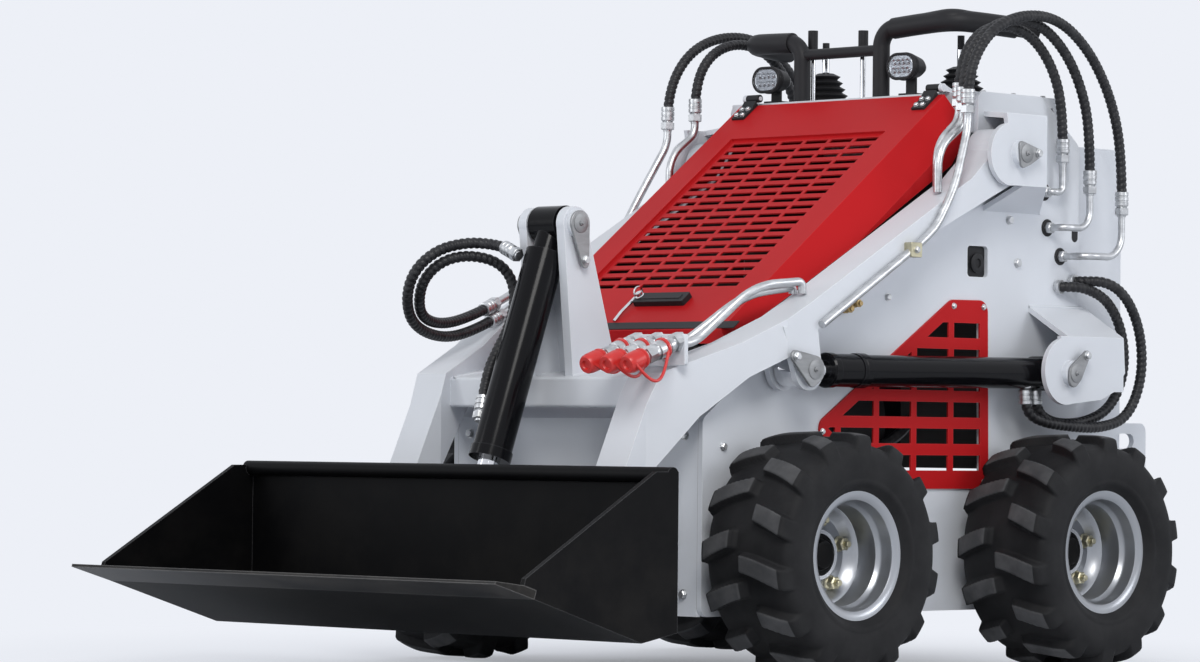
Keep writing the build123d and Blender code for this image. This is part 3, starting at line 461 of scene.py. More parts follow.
tyre_form, tyre_tops = tyre_points()
for corner, side in corners_of_wheels:
    hub = np.array(joints[f"wheel_{corner}_spin"]["pos_m"])
    mesh = looped_mesh(f"tyre {corner}", tyre_form * np.array([side, side, 1.0]) + hub)
    tops = mesh.attributes.new("bar", "FLOAT", "POINT")
    tops.data.foreach_set("value", tyre_tops.reshape(-1).astype(np.float32))
    if mesh.polygons[0].normal.dot(Vector(mesh.polygons[0].center) - Vector(hub)) < 0:
        mesh.flip_normals()
    place_piece(f"tyre_{corner}_moulded", mesh, tyre_rubber, f"wheel_{corner}", "tyre",
                f"tyre_{corner}")


# ---- Wheels ----
# Pressed steel wheels in a silver coat: a barrel with rolled flanges, a disc welded deep inside it,
# a black hub through the middle, five zinc nuts and a rubber valve.
mm = 0.001   # profiles, routes and places below are in millimetres


def turned_rings(stations, centre, axis, around=24):
    """Rings [station, around, 3] of a profile turned about an axis, in millimetres.

    A station is (distance along the axis, radius, share of flat). The radius grows by the share of
    1 / cos(angle from the middle of its flat) - 1, so a share of 1 gives a hexagon.
    """
    flat_angle = 2.0 * pi / 6.0
    rows = np.array([(*station, 0.0)[:3] for station in stations], dtype=float)
    axis = np.array(axis, dtype=float) / np.linalg.norm(axis)
    first = np.cross([0.0, 0.0, 1.0] if abs(axis[2]) < 0.9 else [0.0, 1.0, 0.0], axis)
    first /= np.linalg.norm(first)
    second = np.cross(axis, first)
    angle = np.linspace(0.0, 2.0 * pi, around, endpoint=False)
    corner = 1.0 / np.cos(angle % flat_angle - flat_angle / 2.0)
    radius = rows[:, 1:2] * (1.0 + rows[:, 2:3] * (corner - 1.0))
    ring = np.cos(angle)[:, None] * first + np.sin(angle)[:, None] * second
    return np.array(centre) + rows[:, 0, None, None] * axis + radius[..., None] * ring


def ring_mesh(name, capped, looped, sharp):
    """One mesh from bodies of rings [ring, around, 3] in millimetres, each ring joined to the next.

    A capped body has a flat face over its first and its last ring, and a looped one joins its last
    ring to its first. Rings run along their axis, counter-clockwise about it, so faces point out.
    """
    points, corners, counts, base = [], [], [], 0
    for rings, closed in [(rings, False) for rings in capped] + [(rings, True) for rings in looped]:
        rows, around = rings.shape[:2]
        index = base + np.arange(rows * around).reshape(rows, around)
        if closed:
            index = np.vstack([index, index[:1]])
        next_along = np.roll(index, -1, axis=1)
        points.append(rings.reshape(-1, 3))
        corners.append(np.stack([index[:-1], next_along[:-1], next_along[1:], index[1:]],
                                -1).reshape(-1))
        counts.append(np.full(index[1:].size, 4))
        if not closed:
            corners += [index[0][::-1], index[-1]]
            counts.append(np.array([around, around]))
        base += rows * around
    mesh = filled_mesh(name, np.concatenate(points) * mm, np.concatenate(corners),
                       np.concatenate(counts))
    mesh.set_sharp_from_angle(angle=radians(sharp))
    return mesh


def place_rings(name, capped, finish, body, slot, *replaced, looped=(), sharp=32.0):
    """Makes a piece of capped and looped bodies of rings; edges over sharp degrees stay sharp."""
    return place_piece(name, ring_mesh(name, capped, looped, sharp), finish, body, slot, *replaced)


rim_coat = powder_coat("silver rim coat", (0.40, 0.415, 0.44), (0.80, 0.81, 0.83), 0.30, 0.10,
                       shade=0.85, metal=0.85)
barrel_section = [(-87.6, 112), (-88, 117), (-87, 119), (-85.5, 117), (-84, 108), (-82, 103.4),
                  (-60, 103.2), (-50, 95), (48, 95), (58, 103.2), (82, 103.4), (84, 107),
                  (85.6, 116), (87, 119), (88, 117.5), (87.8, 112), (86, 105.5), (82, 101),
                  (75, 99.8), (61, 99.6), (56, 97), (50, 92), (44, 91.2), (-48, 91.2),
                  (-60, 99.6), (-80, 99.8), (-85, 104)]
disc_section = [(-22, 39), (-22, 76), (-14, 88), (-4, 91.4), (8, 91.4), (6, 88.5), (0, 83),
                (-8, 77), (-12, 71), (-12, 56), (-10, 51), (-5, 48), (-2, 45), (-3, 39)]
hub_section = [(-40, 38.6), (-5, 38.6), (-3, 36), (-3, 29), (4, 27), (8, 24), (9, 20)]
nut_section = [(-13, 15), (-11, 15), (-8, 12), (-8, 11, 1), (3, 11, 1), (5.4, 9.4, 0.5),
               (5.6, 6), (13, 6), (14, 5)]
valve_section = [(-14, 5), (-2, 4.4), (0, 3.4), (18, 3.2), (18, 4.2), (24, 4.0), (25, 3)]
nut_circle, nut_turns = 63.5, np.arange(5) * 2.0 * pi / 5.0 + 0.3
valve_circle, valve_turn = 84.0, 1.9
for corner, side in corners_of_wheels:
    body = f"wheel_{corner}"
    hub = np.array(joints[f"{body}_spin"]["pos_m"]) / mm
    axle = (side, 0.0, 0.0)
    wheel = [turned_rings(section, hub, axle, 96) for section in (barrel_section, disc_section)]
    place_rings(f"rim_{corner}_pressed", [], rim_coat, body, "rim_paint", f"rim_{corner}",
                looped=wheel)
    place_rings(f"hub_{corner}", [turned_rings(hub_section, hub, axle, 48)], black_coat, body,
                "black_paint")
    nuts = [turned_rings(nut_section, hub + nut_circle * np.array([0.0, cos(t), sin(t)]), axle, 12)
            for t in nut_turns]
    place_rings(f"nuts_{corner}", nuts, tie_zinc, body, "zinc")
    valve_foot = hub + valve_circle * np.array([0.0, cos(valve_turn), sin(valve_turn)])
    valve = [turned_rings(valve_section, valve_foot, axle, 12)]
    place_rings(f"valve_{corner}", valve, black_plastic, body, "rubber")

# ---- Hoses ----
# Two-wire hydraulic hose in a black spiral guard, crimped to a zinc ferrule at each end. Each goes
# from a fitting on one body to a fitting on the next.
hose_rubber, tree, sockets = new_finish("hose guard", {"Roughness": 0.42,
                                                       "Specular IOR Level": 0.3})
scuffs = noise(tree, 60.0, 5.0, 0.6)
tree.links.new(blend_colour(tree, ramp(tree, scuffs, 0.35, 0.8), (0.012, 0.012, 0.014),
                            (0.036, 0.036, 0.038)), sockets["Base Color"])
bump(tree, scuffs, 0.15, 0.0005, sockets)


def along_spline(route):
    """Points on the smooth NURBS line of order 3 through a route's control points."""
    line = bpy.data.curves.new("route", "CURVE")
    line.dimensions = "3D"
    line.resolution_u = 24
    spline = line.splines.new("NURBS")
    spline.points.add(len(route) - 1)
    controls = np.hstack([np.array(route), np.ones((len(route), 1))])
    spline.points.foreach_set("co", controls.reshape(-1))
    spline.order_u = 3
    spline.use_endpoint_u = True
    holder = bpy.data.objects.new("route", line)
    bpy.context.scene.collection.objects.link(holder)
    bpy.context.view_layer.update()
    sampled = bpy.data.meshes.new_from_object(holder)
    points = np.array([v.co for v in sampled.vertices])
    bpy.data.objects.remove(holder)
    bpy.data.meshes.remove(sampled)
    apart = np.linalg.norm(np.diff(points, axis=0), axis=1) > 1e-4
    return points[np.concatenate([[True], apart])]


def tube_rings(points, radius, sides=12, step=4.0, pitch=0.0, rise=0.0):
    """Rings [along, round, 3] about a line in millimetres, their normals carried without twist.

    Where a pitch is given, a flat strip is wound round the tube as a helix: the radius is
    radius - rise + rise * S, S going smoothly from 0 to 1 as cos(angle - 2 pi distance / pitch)
    goes from -0.55 to 0.05. Returns the rings, the line's length and its stations.
    """
    spans = np.linalg.norm(np.diff(points, axis=0), axis=1)
    distance = np.concatenate([[0.0], np.cumsum(spans)])
    count = max(int(distance[-1] / (pitch / 6.0 if pitch else step)), 3)
    stations = np.linspace(0.0, distance[-1], count)
    line = np.stack([np.interp(stations, distance, points[:, k]) for k in range(3)], -1)
    tangent = np.gradient(line, axis=0)
    tangent /= np.linalg.norm(tangent, axis=1)[:, None]
    side = np.cross(tangent[0], [0.31, 0.22, 0.93])
    carried = []
    for direction in tangent:
        side = side - direction * side.dot(direction)
        side = side / np.linalg.norm(side)
        carried.append(side)
    first = np.array(carried)
    second = np.cross(tangent, first)
    angle = np.linspace(0.0, 2.0 * pi, sides, endpoint=False)[None, :]
    reach = np.full((count, sides), float(radius))
    if pitch:
        wave = np.cos(angle - 2.0 * pi * stations[:, None] / pitch)
        reach = reach - rise + rise * smooth(wave, -0.55, 0.05)
    ring = np.cos(angle)[..., None] * first[:, None] + np.sin(angle)[..., None] * second[:, None]
    return line[:, None] + ring * reach[..., None], distance[-1], line


hose_diameter = 21.0
guard_pitch, guard_rise = 11.0, 1.3
boom_hose_routes = {   # (Y, Z) by X, which stays the same along the hose
    352: [(368, 1092), (368, 1150), (410, 1215), (490, 1245), (580, 1230), (648, 1170), (680, 1085),
          (680, 1000)],
    376: [(352, 1082), (352, 1140), (396, 1212), (480, 1252), (580, 1250), (664, 1195), (718, 1110),
          (735, 1020), (735, 940)],
    400: [(338, 1076), (338, 1134), (390, 1214), (480, 1258), (600, 1262), (700, 1205), (772, 1110),
          (805, 1000), (805, 900)],
}
lift_hose_routes = [
    [(330, 690, 740), (348, 690, 740), (366, 735, 740), (374, 800, 715), (374, 845, 650),
     (374, 850, 570), (374, 805, 500), (374, 720, 472), (374, 630, 470), (374, 575, 495),
     (374, 575, 537)],
    [(330, 735, 752), (352, 735, 752), (392, 775, 752), (398, 830, 720), (398, 872, 650),
     (398, 876, 560), (398, 830, 482), (398, 740, 462), (398, 640, 466), (390, 570, 474),
     (378, 540, 496), (378, 540, 537)],
]
tilt_hose_routes = [
    [(-345, -184, 666), (-330, -261, 637), (-300, -372, 619), (-265, -478, 639), (-235, -527, 686),
     (-205, -537, 740), (-175, -506, 781), (-145, -458, 796), (-110, -430, 794), (-70, -428, 786),
     (-44, -432, 776)],
    [(-345, -200, 688), (-330, -271, 664), (-300, -371, 646), (-265, -455, 655), (-235, -495, 687),
     (-205, -509, 729), (-175, -491, 761), (-145, -455, 773), (-116, -410, 764), (-98, -385, 735),
     (-82, -388, 688), (-72, -415, 635), (-66, -452, 590), (-62, -480, 549), (-49, -506, 480)],
]
hoses = []   # (name, route, CAD node, body at the start, body at the end)
for side_name, side in sides:
    for number, (x, route) in enumerate(boom_hose_routes.items(), 1):
        if side > 0 or number != 2:   # the right side has no middle hose
            hoses.append((f"boom_hose_{side_name}_{number}", [(side * x, y, z) for y, z in route],
                          f"boom_hoses_{side_name}", "boom", "chassis"))
    for number, route in enumerate(lift_hose_routes, 1):
        hoses.append((f"lift_hose_{side_name}_{number}", [(side * x, y, z) for x, y, z in route],
                      f"lift_hoses_{side_name}", "chassis", f"lift_{side_name}_barrel"))
for number, route in enumerate(tilt_hose_routes, 1):
    hoses.append((f"tilt_hose_{number}", route, "tilt_hoses", "boom", "tilt_barrel"))

crimp = [(-30, 11.4), (-29, 13.4), (-23, 13.6), (-22, 12.6), (-20, 12.6), (-19, 13.6),
         (-13, 13.6), (-12, 12.6), (-10, 12.6), (-9, 13.6), (-3, 13.4), (-1, 11), (2, 10),
         (2.2, 12.2, 1), (15, 12.2, 1), (16.5, 11, 0.4), (16.5, 9), (20, 8.6)]
short_crimp = crimp[6:]
hose_ends = {}   # fittings by the body they ride on
for name, route, node, near_body, far_body in hoses:
    skin, length, line = tube_rings(along_spline(route), hose_diameter / 2.0, pitch=guard_pitch,
                                    rise=guard_rise)
    hose = place_rings(name, [skin], hose_rubber, None, "rubber", node, sharp=180.0)
    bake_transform(hose)
    for body, place, inner in ((near_body, line[0], line[4]), (far_body, line[-1], line[-5])):
        section = short_crimp if name.startswith("lift") and body == "chassis" else crimp
        end_rings = turned_rings(section, place, place - inner)
        hose_ends.setdefault(body, []).append(end_rings)
for body, ends in hose_ends.items():
    place_rings(f"hose_ends_{body}", ends, zinc, body, "zinc")


# ---- Pipe ports and clamps ----
# Swivel nuts where each pipe enters a side plate, with a rubber grommet behind each, rubber in the
# plates' other holes, two small brass fittings a side, and a yellow zinc clamp for the long pipe
# on each arm.
def hull(circles, shrink=0.0):
    """Outline [outline_points, 2] of a band stretched round circles (u, v, radius).

    For each direction it takes the circle that reaches farthest and that circle's point that way.
    """
    angle = np.linspace(0.0, 2.0 * pi, outline_points, endpoint=False)
    ways = np.stack([np.cos(angle), np.sin(angle)], -1)
    discs = np.array(circles, dtype=float)
    chosen = discs[np.argmax(ways @ discs[:, :2].T + discs[:, 2], axis=1)]
    return chosen[:, :2] + ways * (chosen[:, 2:] - shrink)


def slab_rings(circles, origin, across, up, low, high, bevel=0.8):
    """Rings of a flat piece of the hull's outline, from low to high along across x up, bevelled."""
    across, up = np.array(across, dtype=float), np.array(up, dtype=float)
    normal = np.cross(across, up)
    rings = []
    for height, shrink in ((low, bevel), (low + bevel, 0.0), (high - bevel, 0.0), (high, bevel)):
        outline = hull(circles, shrink)
        rings.append(np.array(origin) + outline[:, :1] * across + outline[:, 1:] * up
                     + height * normal)
    return np.array(rings)


def side_slab(circles, side, x, y, z, low, high):
    """A flat piece that faces out at (x, y, z) on the left side, or mirrored where side is -1."""
    return slab_rings(circles, (side * x, y, z), (0, side, 0), up_z, low, high)


def side_turned(stations, side, x, y, z, around=24):
    """A turned piece that points out at (x, y, z) on the left side, or mirrored."""
    return turned_rings(stations, (side * x, y, z), (side, 0, 0), around)


def corners(half_u, half_v, radius):
    """Four circles whose hull is a rounded rectangle of the given half sizes."""
    return [(u * (half_u - radius), v * (half_v - radius), radius)
            for u in (-1, 1) for v in (-1, 1)]


outline_points = 48
along_x, along_y, up_z = (1, 0, 0), (0, 1, 0), (0, 0, 1)
plate_face = 330   # X of the left side plate's outer face
port_nut = [(-0.5, 10.5), (1.5, 10.5), (1.7, 10.2, 1), (13, 10.2, 1), (14.5, 9.2, 0.4),
            (14.5, 7.6), (19, 7.4)]
grommet = [(-0.5, 17), (1.6, 17), (3.2, 15.5), (3.2, 12)]
fitting = [(-0.5, 8, 1), (5, 8, 1), (6, 6), (10, 6), (11, 7, 1), (17, 7, 1), (18, 4.5), (22, 4.5)]
tie_places = [(158, 792)]   # (Y, Z) on each arm's long pipe
ports, grommets, fittings, ties = [], [], [], []
for side in (1, -1):
    for number, (y, z) in enumerate(((650, 925), (660, 855), (700, 800))):
        if side > 0 or number != 1:   # the right side has no middle pipe
            ports.append(side_turned(port_nut, side, plate_face, y, z))
            grommets.append(side_turned(grommet, side, plate_face, y, z))
    for y, z in ((612, 962), (618, 905), (745, 846)):
        hole = [(0, 7, 9), (0, -7, 9)]
        grommets.append(side_slab(hole, side, plate_face, y, z, -0.5, 1.4))
    fittings += [side_turned(fitting, side, plate_face, y, z) for y, z in ((70, 680), (94, 691))]
    ties += [side_slab(corners(15, 14, 3), side, 414, y, z, -0.5, 19) for y, z in tie_places]
brass = plated("brass fitting", (0.50, 0.36, 0.17), 0.34, 0.2, 60.0)
place_rings("port_nuts", ports, zinc, "chassis", "zinc")
place_rings("brass_fittings", fittings, brass, "chassis", "zinc")
place_rings("port_grommets", grommets, black_plastic, "chassis", "rubber")
place_rings("pipe_ties", ties, tie_zinc, "boom", "zinc")

# ---- Pin flags ----
# A zinc-plated flag is welded to the head of each greased pin, and one bolt through its tail stops
# the pin from turning; the grease nipple sits in the middle.
bolt_head = [(0, 1.35), (0.22, 1.35), (0.24, 1.0, 1), (0.85, 1.0, 1), (1.05, 0.86, 0.3)]
bolts = {}   # bolt heads by body


def add_bolt(body, place, axis, size):
    """Adds a washer and hexagon head of a given half width across flats."""
    section = [(distance * size, radius * size, *flat) for distance, radius, *flat in bolt_head]
    bolts.setdefault(body, []).append(turned_rings(section, place, axis, 12))


flags = [   # body, X of the pin's end, pin's (Y, Z), outline's circles, tail bolt from the pin
    ("chassis", 445, (455, 987), [(-13, 15, 8), (-9, -20, 8), (10, -12, 9), (38, 2, 8)], (34, 2)),
    ("chassis", 443, (611, 568), [(0, 0, 20), (-6, -12, 15), (33, 36, 9)], (32, 35)),
    ("boom", 424, (-116, 562.5), [(0, 0, 26), (-6, -20, 12), (-52, 24, 11)], (-50, 23)),
    ("boom", 68, (-372, 830), [(0, 0, 24), (14, -74, 9)], (13, -68)),
    ("bucket", 341, (-475, 150), [(0, 0, 22), (30, 30, 9)], (29, 29)),
    ("bucket", 52, (-566, 290), [(0, 0, 21), (-8, 44, 9)], (-8, 42)),
]
flag_sheet = 5
nipple = [(-0.4, 18), (1.0, 18), (1.6, 16.8), (1.6, 5), (3.6, 4.6), (4.2, 2.8), (6, 2.4), (7, 1.6)]
dull_zinc = plated("dull zinc plate", (0.36, 0.365, 0.37), 0.42, 0.2, 50.0)
flag_plates, nipples = {}, {}
for body, x, (y, z), circles, (tail_y, tail_z) in flags:
    top = x + flag_sheet
    for side in (1, -1):
        turned_circles = [(u * side, v, radius) for u, v, radius in circles]
        flag_plates.setdefault(body, []).append(
            side_slab(turned_circles, side, x, y, z, -0.6, flag_sheet))
        add_bolt(body, (side * top, y + tail_y, z + tail_z), (side, 0, 0), 6.5)
        nipples.setdefault(body, []).append(side_turned(nipple, side, top, y, z, 20))
for body in flag_plates:
    place_rings(f"pin_flags_{body}", flag_plates[body], dull_zinc, body, "zinc")
    place_rings(f"pin_heads_{body}", nipples[body], dull_zinc, body, "zinc")

# ---- Couplers ----
# Three plated quick couplers for a powered tool are screwed to a block on the arms' crossmember,
# each with a red rubber dust cap on a tether.
cap_red, tree, sockets = new_finish("red dust cap", {"Roughness": 0.34})
tree.links.new(blend_colour(tree, noise(tree, 40.0), (0.55, 0.022, 0.020), (0.68, 0.035, 0.030)),
               sockets["Base Color"])
block = [slab_rings(corners(70, 28.5, 5), (290, -380, 594), along_x, up_z, -0.3, 9.0)]
coupler = [(-6, 15, 1), (16, 15, 1), (17, 12), (24, 12), (25, 16.5), (34, 16.5), (35, 15),
           (38, 15), (39, 17.5), (62, 17.5), (63, 14.5), (70, 14.5), (71, 14, 1), (90, 14, 1),
           (91, 12), (104, 12), (105, 11)]
cap = [(96, 15), (98, 18), (102, 19), (104, 16.5), (109, 16.5), (111, 19), (130, 18.4),
       (138, 17), (141, 15), (141, 9), (137, 7), (137, 3)]
collar = [(40, 18), (41, 20), (46, 20), (47, 18)]
droop = radians(19.0)
nose_down = (0.0, -cos(droop), -sin(droop))
feet = [(x, -386, 610) for x in (238, 290, 342)]
caps = [turned_rings(section, foot, nose_down, 32) for section in (cap, collar) for foot in feet]
for number, (x, _, _) in enumerate(feet):
    # the tether swings out sideways and sags below a straight line by half-waves of sine
    sag = 26 + 8 * number
    run = np.linspace(0.0, 1.0, 30)
    wave = np.sin(run * pi)
    tether = np.stack([x + 16 + 14 * wave, -428 - 84 * run, 592 - 26 * run - sag * wave], -1)
    caps.append(tube_rings(tether, 3.0, 8)[0])
place_rings("coupler_block", block, white_coat, "boom", "body_paint")
bodies = [turned_rings(coupler, foot, nose_down) for foot in feet]
place_rings("coupler_bodies", bodies, zinc, "boom", "zinc", "couplers")
place_rings("coupler_caps", caps, cap_red, "boom", "red_paint")

# ---- Hood latch and seal ----
# A black handle recess near the hood's lower edge with a chromed latch rod and its ring, a black
# rubber strip along that edge and one that the hood closes on, and the screws of its two hinges.
crest_y, crest_z = 418.0, 1106.0
foot_y, foot_z = -203.0, 636.0
hood_slope = np.arctan2(crest_z - foot_z, crest_y - foot_y)
up_hood = np.array([0.0, np.cos(hood_slope), np.sin(hood_slope)])
off_hood = np.array([0.0, -np.sin(hood_slope), np.cos(hood_slope)])


def on_hood(x, run, height=0.0):
    """Place on the hood's sloping top: run up it from the crest, so down where below 0."""
    return np.array([x, crest_y, crest_z]) + up_hood * run + off_hood * height


handle = on_hood(50, -686)
recess = [slab_rings(corners(66, 15, 4), handle, along_x, up_hood, -0.5, 11.5),
          slab_rings(corners(54, 7, 3), handle, along_x, up_hood, 11.0, 13.0)]
place_rings("handle_recess", recess, black_plastic, "hood", "black_plastic")
round_turn = np.linspace(0.0, 2.0 * pi, 40)[:, None]
ring_line = on_hood(-20, -672, 12) + 11 * (np.cos(round_turn) * up_hood
                                           + np.sin(round_turn) * off_hood)
rod_line = np.array([on_hood(-20, -676, 9), on_hood(-22, -700, 8), on_hood(-24, -728, 7),
                     on_hood(-26, -752, 3)])
knob = [(0, 9), (3, 9), (4, 7), (10, 6.5), (11, 4)]
latch = [tube_rings(ring_line, 2.2, 8)[0], tube_rings(rod_line, 3.4, 10)[0],
         turned_rings(knob, on_hood(-4, -686, 12), off_hood, 20)]
place_rings("hood_latch", latch, chrome, "hood", "chrome")
edge_strip = [slab_rings(corners(302, 11, 2), on_hood(0, -765), along_x, up_hood, -0.4, 1.6)]
place_rings("hood_edge_strip", edge_strip, black_plastic, "hood", "rubber")
seal = [slab_rings(corners(7, 6.5, 3), (-300, -186, 601), along_y, up_z, 0, 600)]
place_rings("hood_seal", seal, black_plastic, "chassis", "rubber")
for side in (1, -1):
    for run in (-22, -42):
        for x in (232, 248):   # four screws through each hinge leaf
            add_bolt("hood", on_hood(side * x, run, 5), off_hood, 4.5)


# ---- Work lamps ----
# Oval LED lamps: a black case, a faceted bright reflector with two rows of emitters, and a clear
# lens held by a rim.
def oval(radius):
    """Circles whose hull is a lamp's outline, with ends of the given radius."""
    return [(u, 0, radius) for u in (-11, 0, 11)]


lens_clear, tree, sockets = new_finish("clear lens", {"Roughness": 0.03, "IOR": 1.45,
                                                      "Transmission Weight": 1.0})
tree.links.new(blend_colour(tree, noise(tree, 5.0), (0.93, 0.95, 0.97), (0.97, 0.98, 1.0)),
               sockets["Base Color"])
reflector = plated("bright reflector", (0.42, 0.43, 0.45), 0.10, 0.15, 120.0)
cup = [(2.8, 5.8), (4.6, 6.2), (5.2, 5.4), (3.8, 2.6), (4.8, 1.8)]
lamp_y = 456
rim_outline = hull(oval(24))
rims, mirrors, lenses = [], [], []
for x, z in ((128, 1170), (-235, 1160)):
    face = (x, lamp_y, z)
    rim_path = np.stack([x + rim_outline[:, 0], np.full(outline_points, lamp_y - 3.5),
                         z + rim_outline[:, 1]], -1)
    rims.append(slab_rings(oval(26), face, along_x, up_z, -1, 2.2))
    rims.append(tube_rings(np.vstack([rim_path, rim_path[:2]]), 3.2, 10, step=3.0)[0])
    mirrors.append(slab_rings(oval(21.5), face, along_x, up_z, 1.5, 3.2, 0.4))
    mirrors += [turned_rings(cup, (x + u, lamp_y, z + v), (0, -1, 0), 16)
                for u in (-18, -6, 6, 18) for v in (-8, 8)]
    lenses.append(slab_rings(oval(21.5), face, along_x, up_z, 5.6, 7.0, 0.6))
place_rings("lamp_rims", rims, black_plastic, "chassis", "black_plastic")
place_rings("lamp_reflectors", mirrors, reflector, "chassis", "lamp")
place_rings("lamp_lenses", lenses, lens_clear, "chassis", "lamp")

# ---- Grab bar pads ----
# Dense black foam sleeves over the top runs of both grab bars, pushed on before the bars' ends are
# welded, for the operator's hands and hips.
pads = [tube_rings(along_spline(route), 21, 20)[0] for route in (
    [(96, 467, 1247), (150, 472, 1252), (236, 480, 1257), (268, 530, 1253), (300, 596, 1246)],
    [(-176, 467, 1232), (-240, 468, 1234), (-292, 474, 1235), (-304, 530, 1232),
     (-314, 594, 1228)])]
place_rings("grab_bar_pads", pads, black_plastic, "chassis", "rubber", sharp=60.0)

# ---- Levers and screws ----
# Bright rods carry the black grips of the two slim levers and the knobs over the two boots, and
# zinc screws hold the console, the side plates, their grilles, the rear body, the platform, the
# front plate, the bucket, the clamps and the coupler block.
console_top = 1112
grip_length = 47
rods = []
for x, y, top in ((-151, 500, 1258), (-15, 500, 1251)):
    lever = [(-1, 10), (4, 10), (5, 5.8), (top - console_top - grip_length, 5.8)]
    rods.append(turned_rings(lever, (x, y, console_top), up_z, 20))
for x, boot_height in ((190, 60), (-170, 64)):
    neck = [(boot_height + 2, 7.6), (boot_height + 34, 7.6)]
    rods.append(turned_rings(neck, (x, 560, console_top), up_z, 20))
place_rings("lever_rods", rods, chrome, "chassis", "chrome")
screws = [   # body, the way they face, half width across flats, places; all for the left side
    ("chassis", up_z, 5, [(300, y, console_top) for y in (500, 590, 680)]),
    ("chassis", along_x, 6, [(plate_face, y, z) for y, z in ((-255, 170), (-255, 420), (-130, 540),
                                                             (192, 706))]),
    ("chassis", along_x, 7, [(plate_face, y, z) for y, z in ((570, 783), (545, 866), (860, 300))]),
    ("chassis", along_x, 4.5, [(334, y, z) for y, z in ((8, 450), (165, 355), (470, 356),
                                                        (466, 694), (378, 694), (180, 576))]),
    ("chassis", along_y, 7, [(285, 905, z) for z in (430, 700, 960)]),
    ("chassis", up_z, 7, [(280, y, 242) for y in (930, 1020)]),
    ("chassis", (0, -1, 0), 7, [(285, -309, z) for z in (150, 440)]),
    ("bucket", along_y, 7, [(x, -600, 345) for x in (70, 150, 314)]),
    ("boom", along_x, 5, [(433, y, z) for y, z in tie_places]),
]
for side in (1, -1):
    for body, (out_x, out_y, out_z), size, places in screws:
        for x, y, z in places:
            add_bolt(body, (side * x, y, z), (side * out_x, out_y, out_z), size)
for x in (268, 312):   # the coupler block's
    add_bolt("boom", (x, -389, 578), (0, -1, 0), 5)
for body, heads in bolts.items():
    place_rings(f"bolts_{body}", heads, zinc, body, "zinc")

# ---- Lift cylinder glands ----
# The long gland of each lift cylinder, turned from steel and painted gloss black. It is bored for
# the rod and screwed on the barrel's front end to hold the seals.
gland = [(538, 17.6), (538, 31), (541, 33), (556, 33), (558, 31), (626, 31), (628, 33), (642, 33),
         (645, 30), (645, 17.6)]
lift_way = (0, -727, -5.5)   # from the barrel's pin to the rod's
for side_name, side in sides:
    rings = turned_rings(gland, (side * 376, 611, 568), lift_way, 40)
    place_rings(f"lift_gland_{side_name}", [], gloss_black, f"lift_{side_name}_barrel",
                "gloss_black", looped=[rings])

# ---- Side windows ----
# A black sheet set into the square hole of each side plate, painted shade that keeps the hole dark,
# with the round end of a control valve behind it.
valve_end = [(3, 19), (9, 19), (10, 17), (10, 9), (7, 8)]
for side_name, side in sides:
    # the black sheet stands for the shade in the hole
    hole_shade_and_valve = [side_slab(corners(30, 30, 8), side, 318, 452, 782, 0.5, 4),
              side_turned(valve_end, side, 318, 456, 779, 28)]
    place_rings(f"side_window_{side_name}", hole_shade_and_valve, black_plastic, "chassis", "black_plastic")

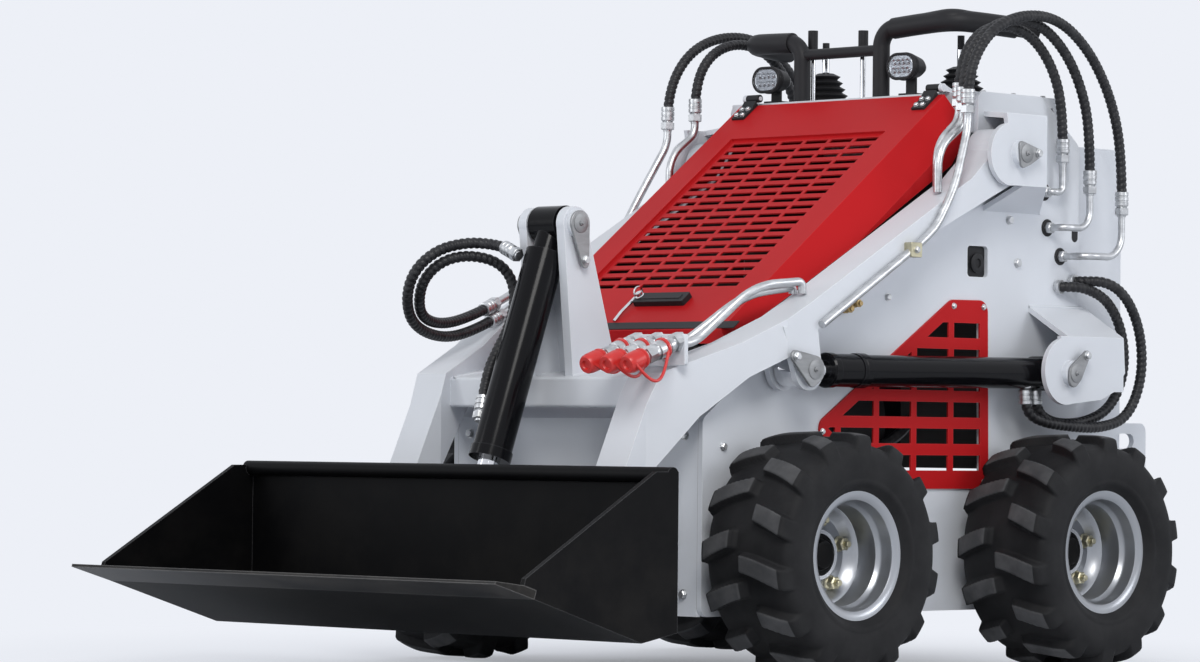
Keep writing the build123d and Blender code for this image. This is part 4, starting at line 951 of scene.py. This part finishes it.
# ---- Engine bay ----
# What shows through the grilles beside the plain engine block: a moulded air cleaner, a fan shroud
# on each side of the block, rubber hoses and zinc-plated pipes.
cleaner = [(-90, 40), (-84, 62), (60, 62), (62, 66), (72, 66), (74, 50), (90, 48)]
shroud = [(0, 112), (26, 118), (28, 118), (30, 100), (22, 92), (22, 30), (34, 26)]
bay = [turned_rings(cleaner, (60, 170, 640), along_y, 40)]
bay += [side_turned(shroud, side, 196, 190, 470, 48) for side in (1, -1)]
place_rings("engine_air_cleaner", bay, black_plastic, "chassis", "black_plastic")
long_line = [(230, 20, 420), (250, 90, 520), (240, 200, 600), (210, 330, 620), (160, 380, 560)]
bay_lines = [
    long_line,
    [(235, 60, 380), (262, 150, 400), (258, 300, 430), (230, 380, 480)],
    [(-x, y, z) for x, y, z in long_line],
    [(-120, -20, 470), (-60, 20, 600), (40, 20, 640), (140, -10, 560), (180, -10, 430)],
    [(-180, 60, 580), (-120, 90, 680), (-40, 110, 640), (0, 60, 570)],
]
bay_hoses = [tube_rings(along_spline(line), 11 if number % 2 else 15, 10)[0]
             for number, line in enumerate(bay_lines)]
place_rings("engine_hoses", bay_hoses, hose_rubber, "chassis", "rubber")
bay_pipes = [tube_rings(along_spline([(205, y, 560), (212, y, 610), (150, y + 20, 640),
                                      (60, y + 30, 560)]), 6, 10)[0] for y in (60, 100, 250, 290)]
bay_pipes += [turned_rings([(0, 26), (60, 26), (64, 22), (70, 20)], (x, 80, 550), up_z, 28)
              for x in (-130, 110)]
place_rings("engine_pipes", bay_pipes, zinc, "chassis", "zinc")


# ---- Welds ----
# Fillet welds under the coat where the tower boxes, the crossmember, the tilt bracket and the
# bucket's ends meet their plates, and across the bucket's back. Each bead's radius swells every
# few millimetres.
def bead(points, radius=3.2):
    """Rings of a bead along straight runs: radius * (1 + 0.18 cos(2 pi ring / 3))."""
    rings, _, line = tube_rings(np.array(points, dtype=float), radius, 8, step=2.6)
    swell = 1.0 + 0.18 * np.cos(2.0 * pi * np.arange(len(line)) / 3.0)
    return line[:, None] + (rings - line[:, None]) * swell[:, None, None]


weld_runs = {   # a run's two ends on the left side, by body
    "chassis": [((330, 636, 880), (330, 636, 1070)), ((330, 778, 534), (330, 778, 700)),
                ((330, 606, 700), (330, 778, 700))],
    "boom": [((240, -395, 545), (240, -290, 560)), ((60, -374, 548), (60, -264, 564)),
             ((40, -374, 548), (40, -340, 553))],
    "bucket": [((555, -614, 360), (555, -614, 106)), ((555, -702, 91), (555, -930, 166)),
               ((326, -600, 350), (326, -600, 130))],
}
for body, runs in weld_runs.items():
    beads = [bead([(side * x, y, z) for x, y, z in run]) for side in (1, -1) for run in runs]
    finish, slot = white_coat, "body_paint"
    if body == "bucket":
        beads.append(bead([(-555, -613, 265), (555, -613, 265)], 1.8))
        finish, slot = black_coat, "black_paint"
    place_rings(f"welds_{body}", beads, finish, body, slot, sharp=180.0)
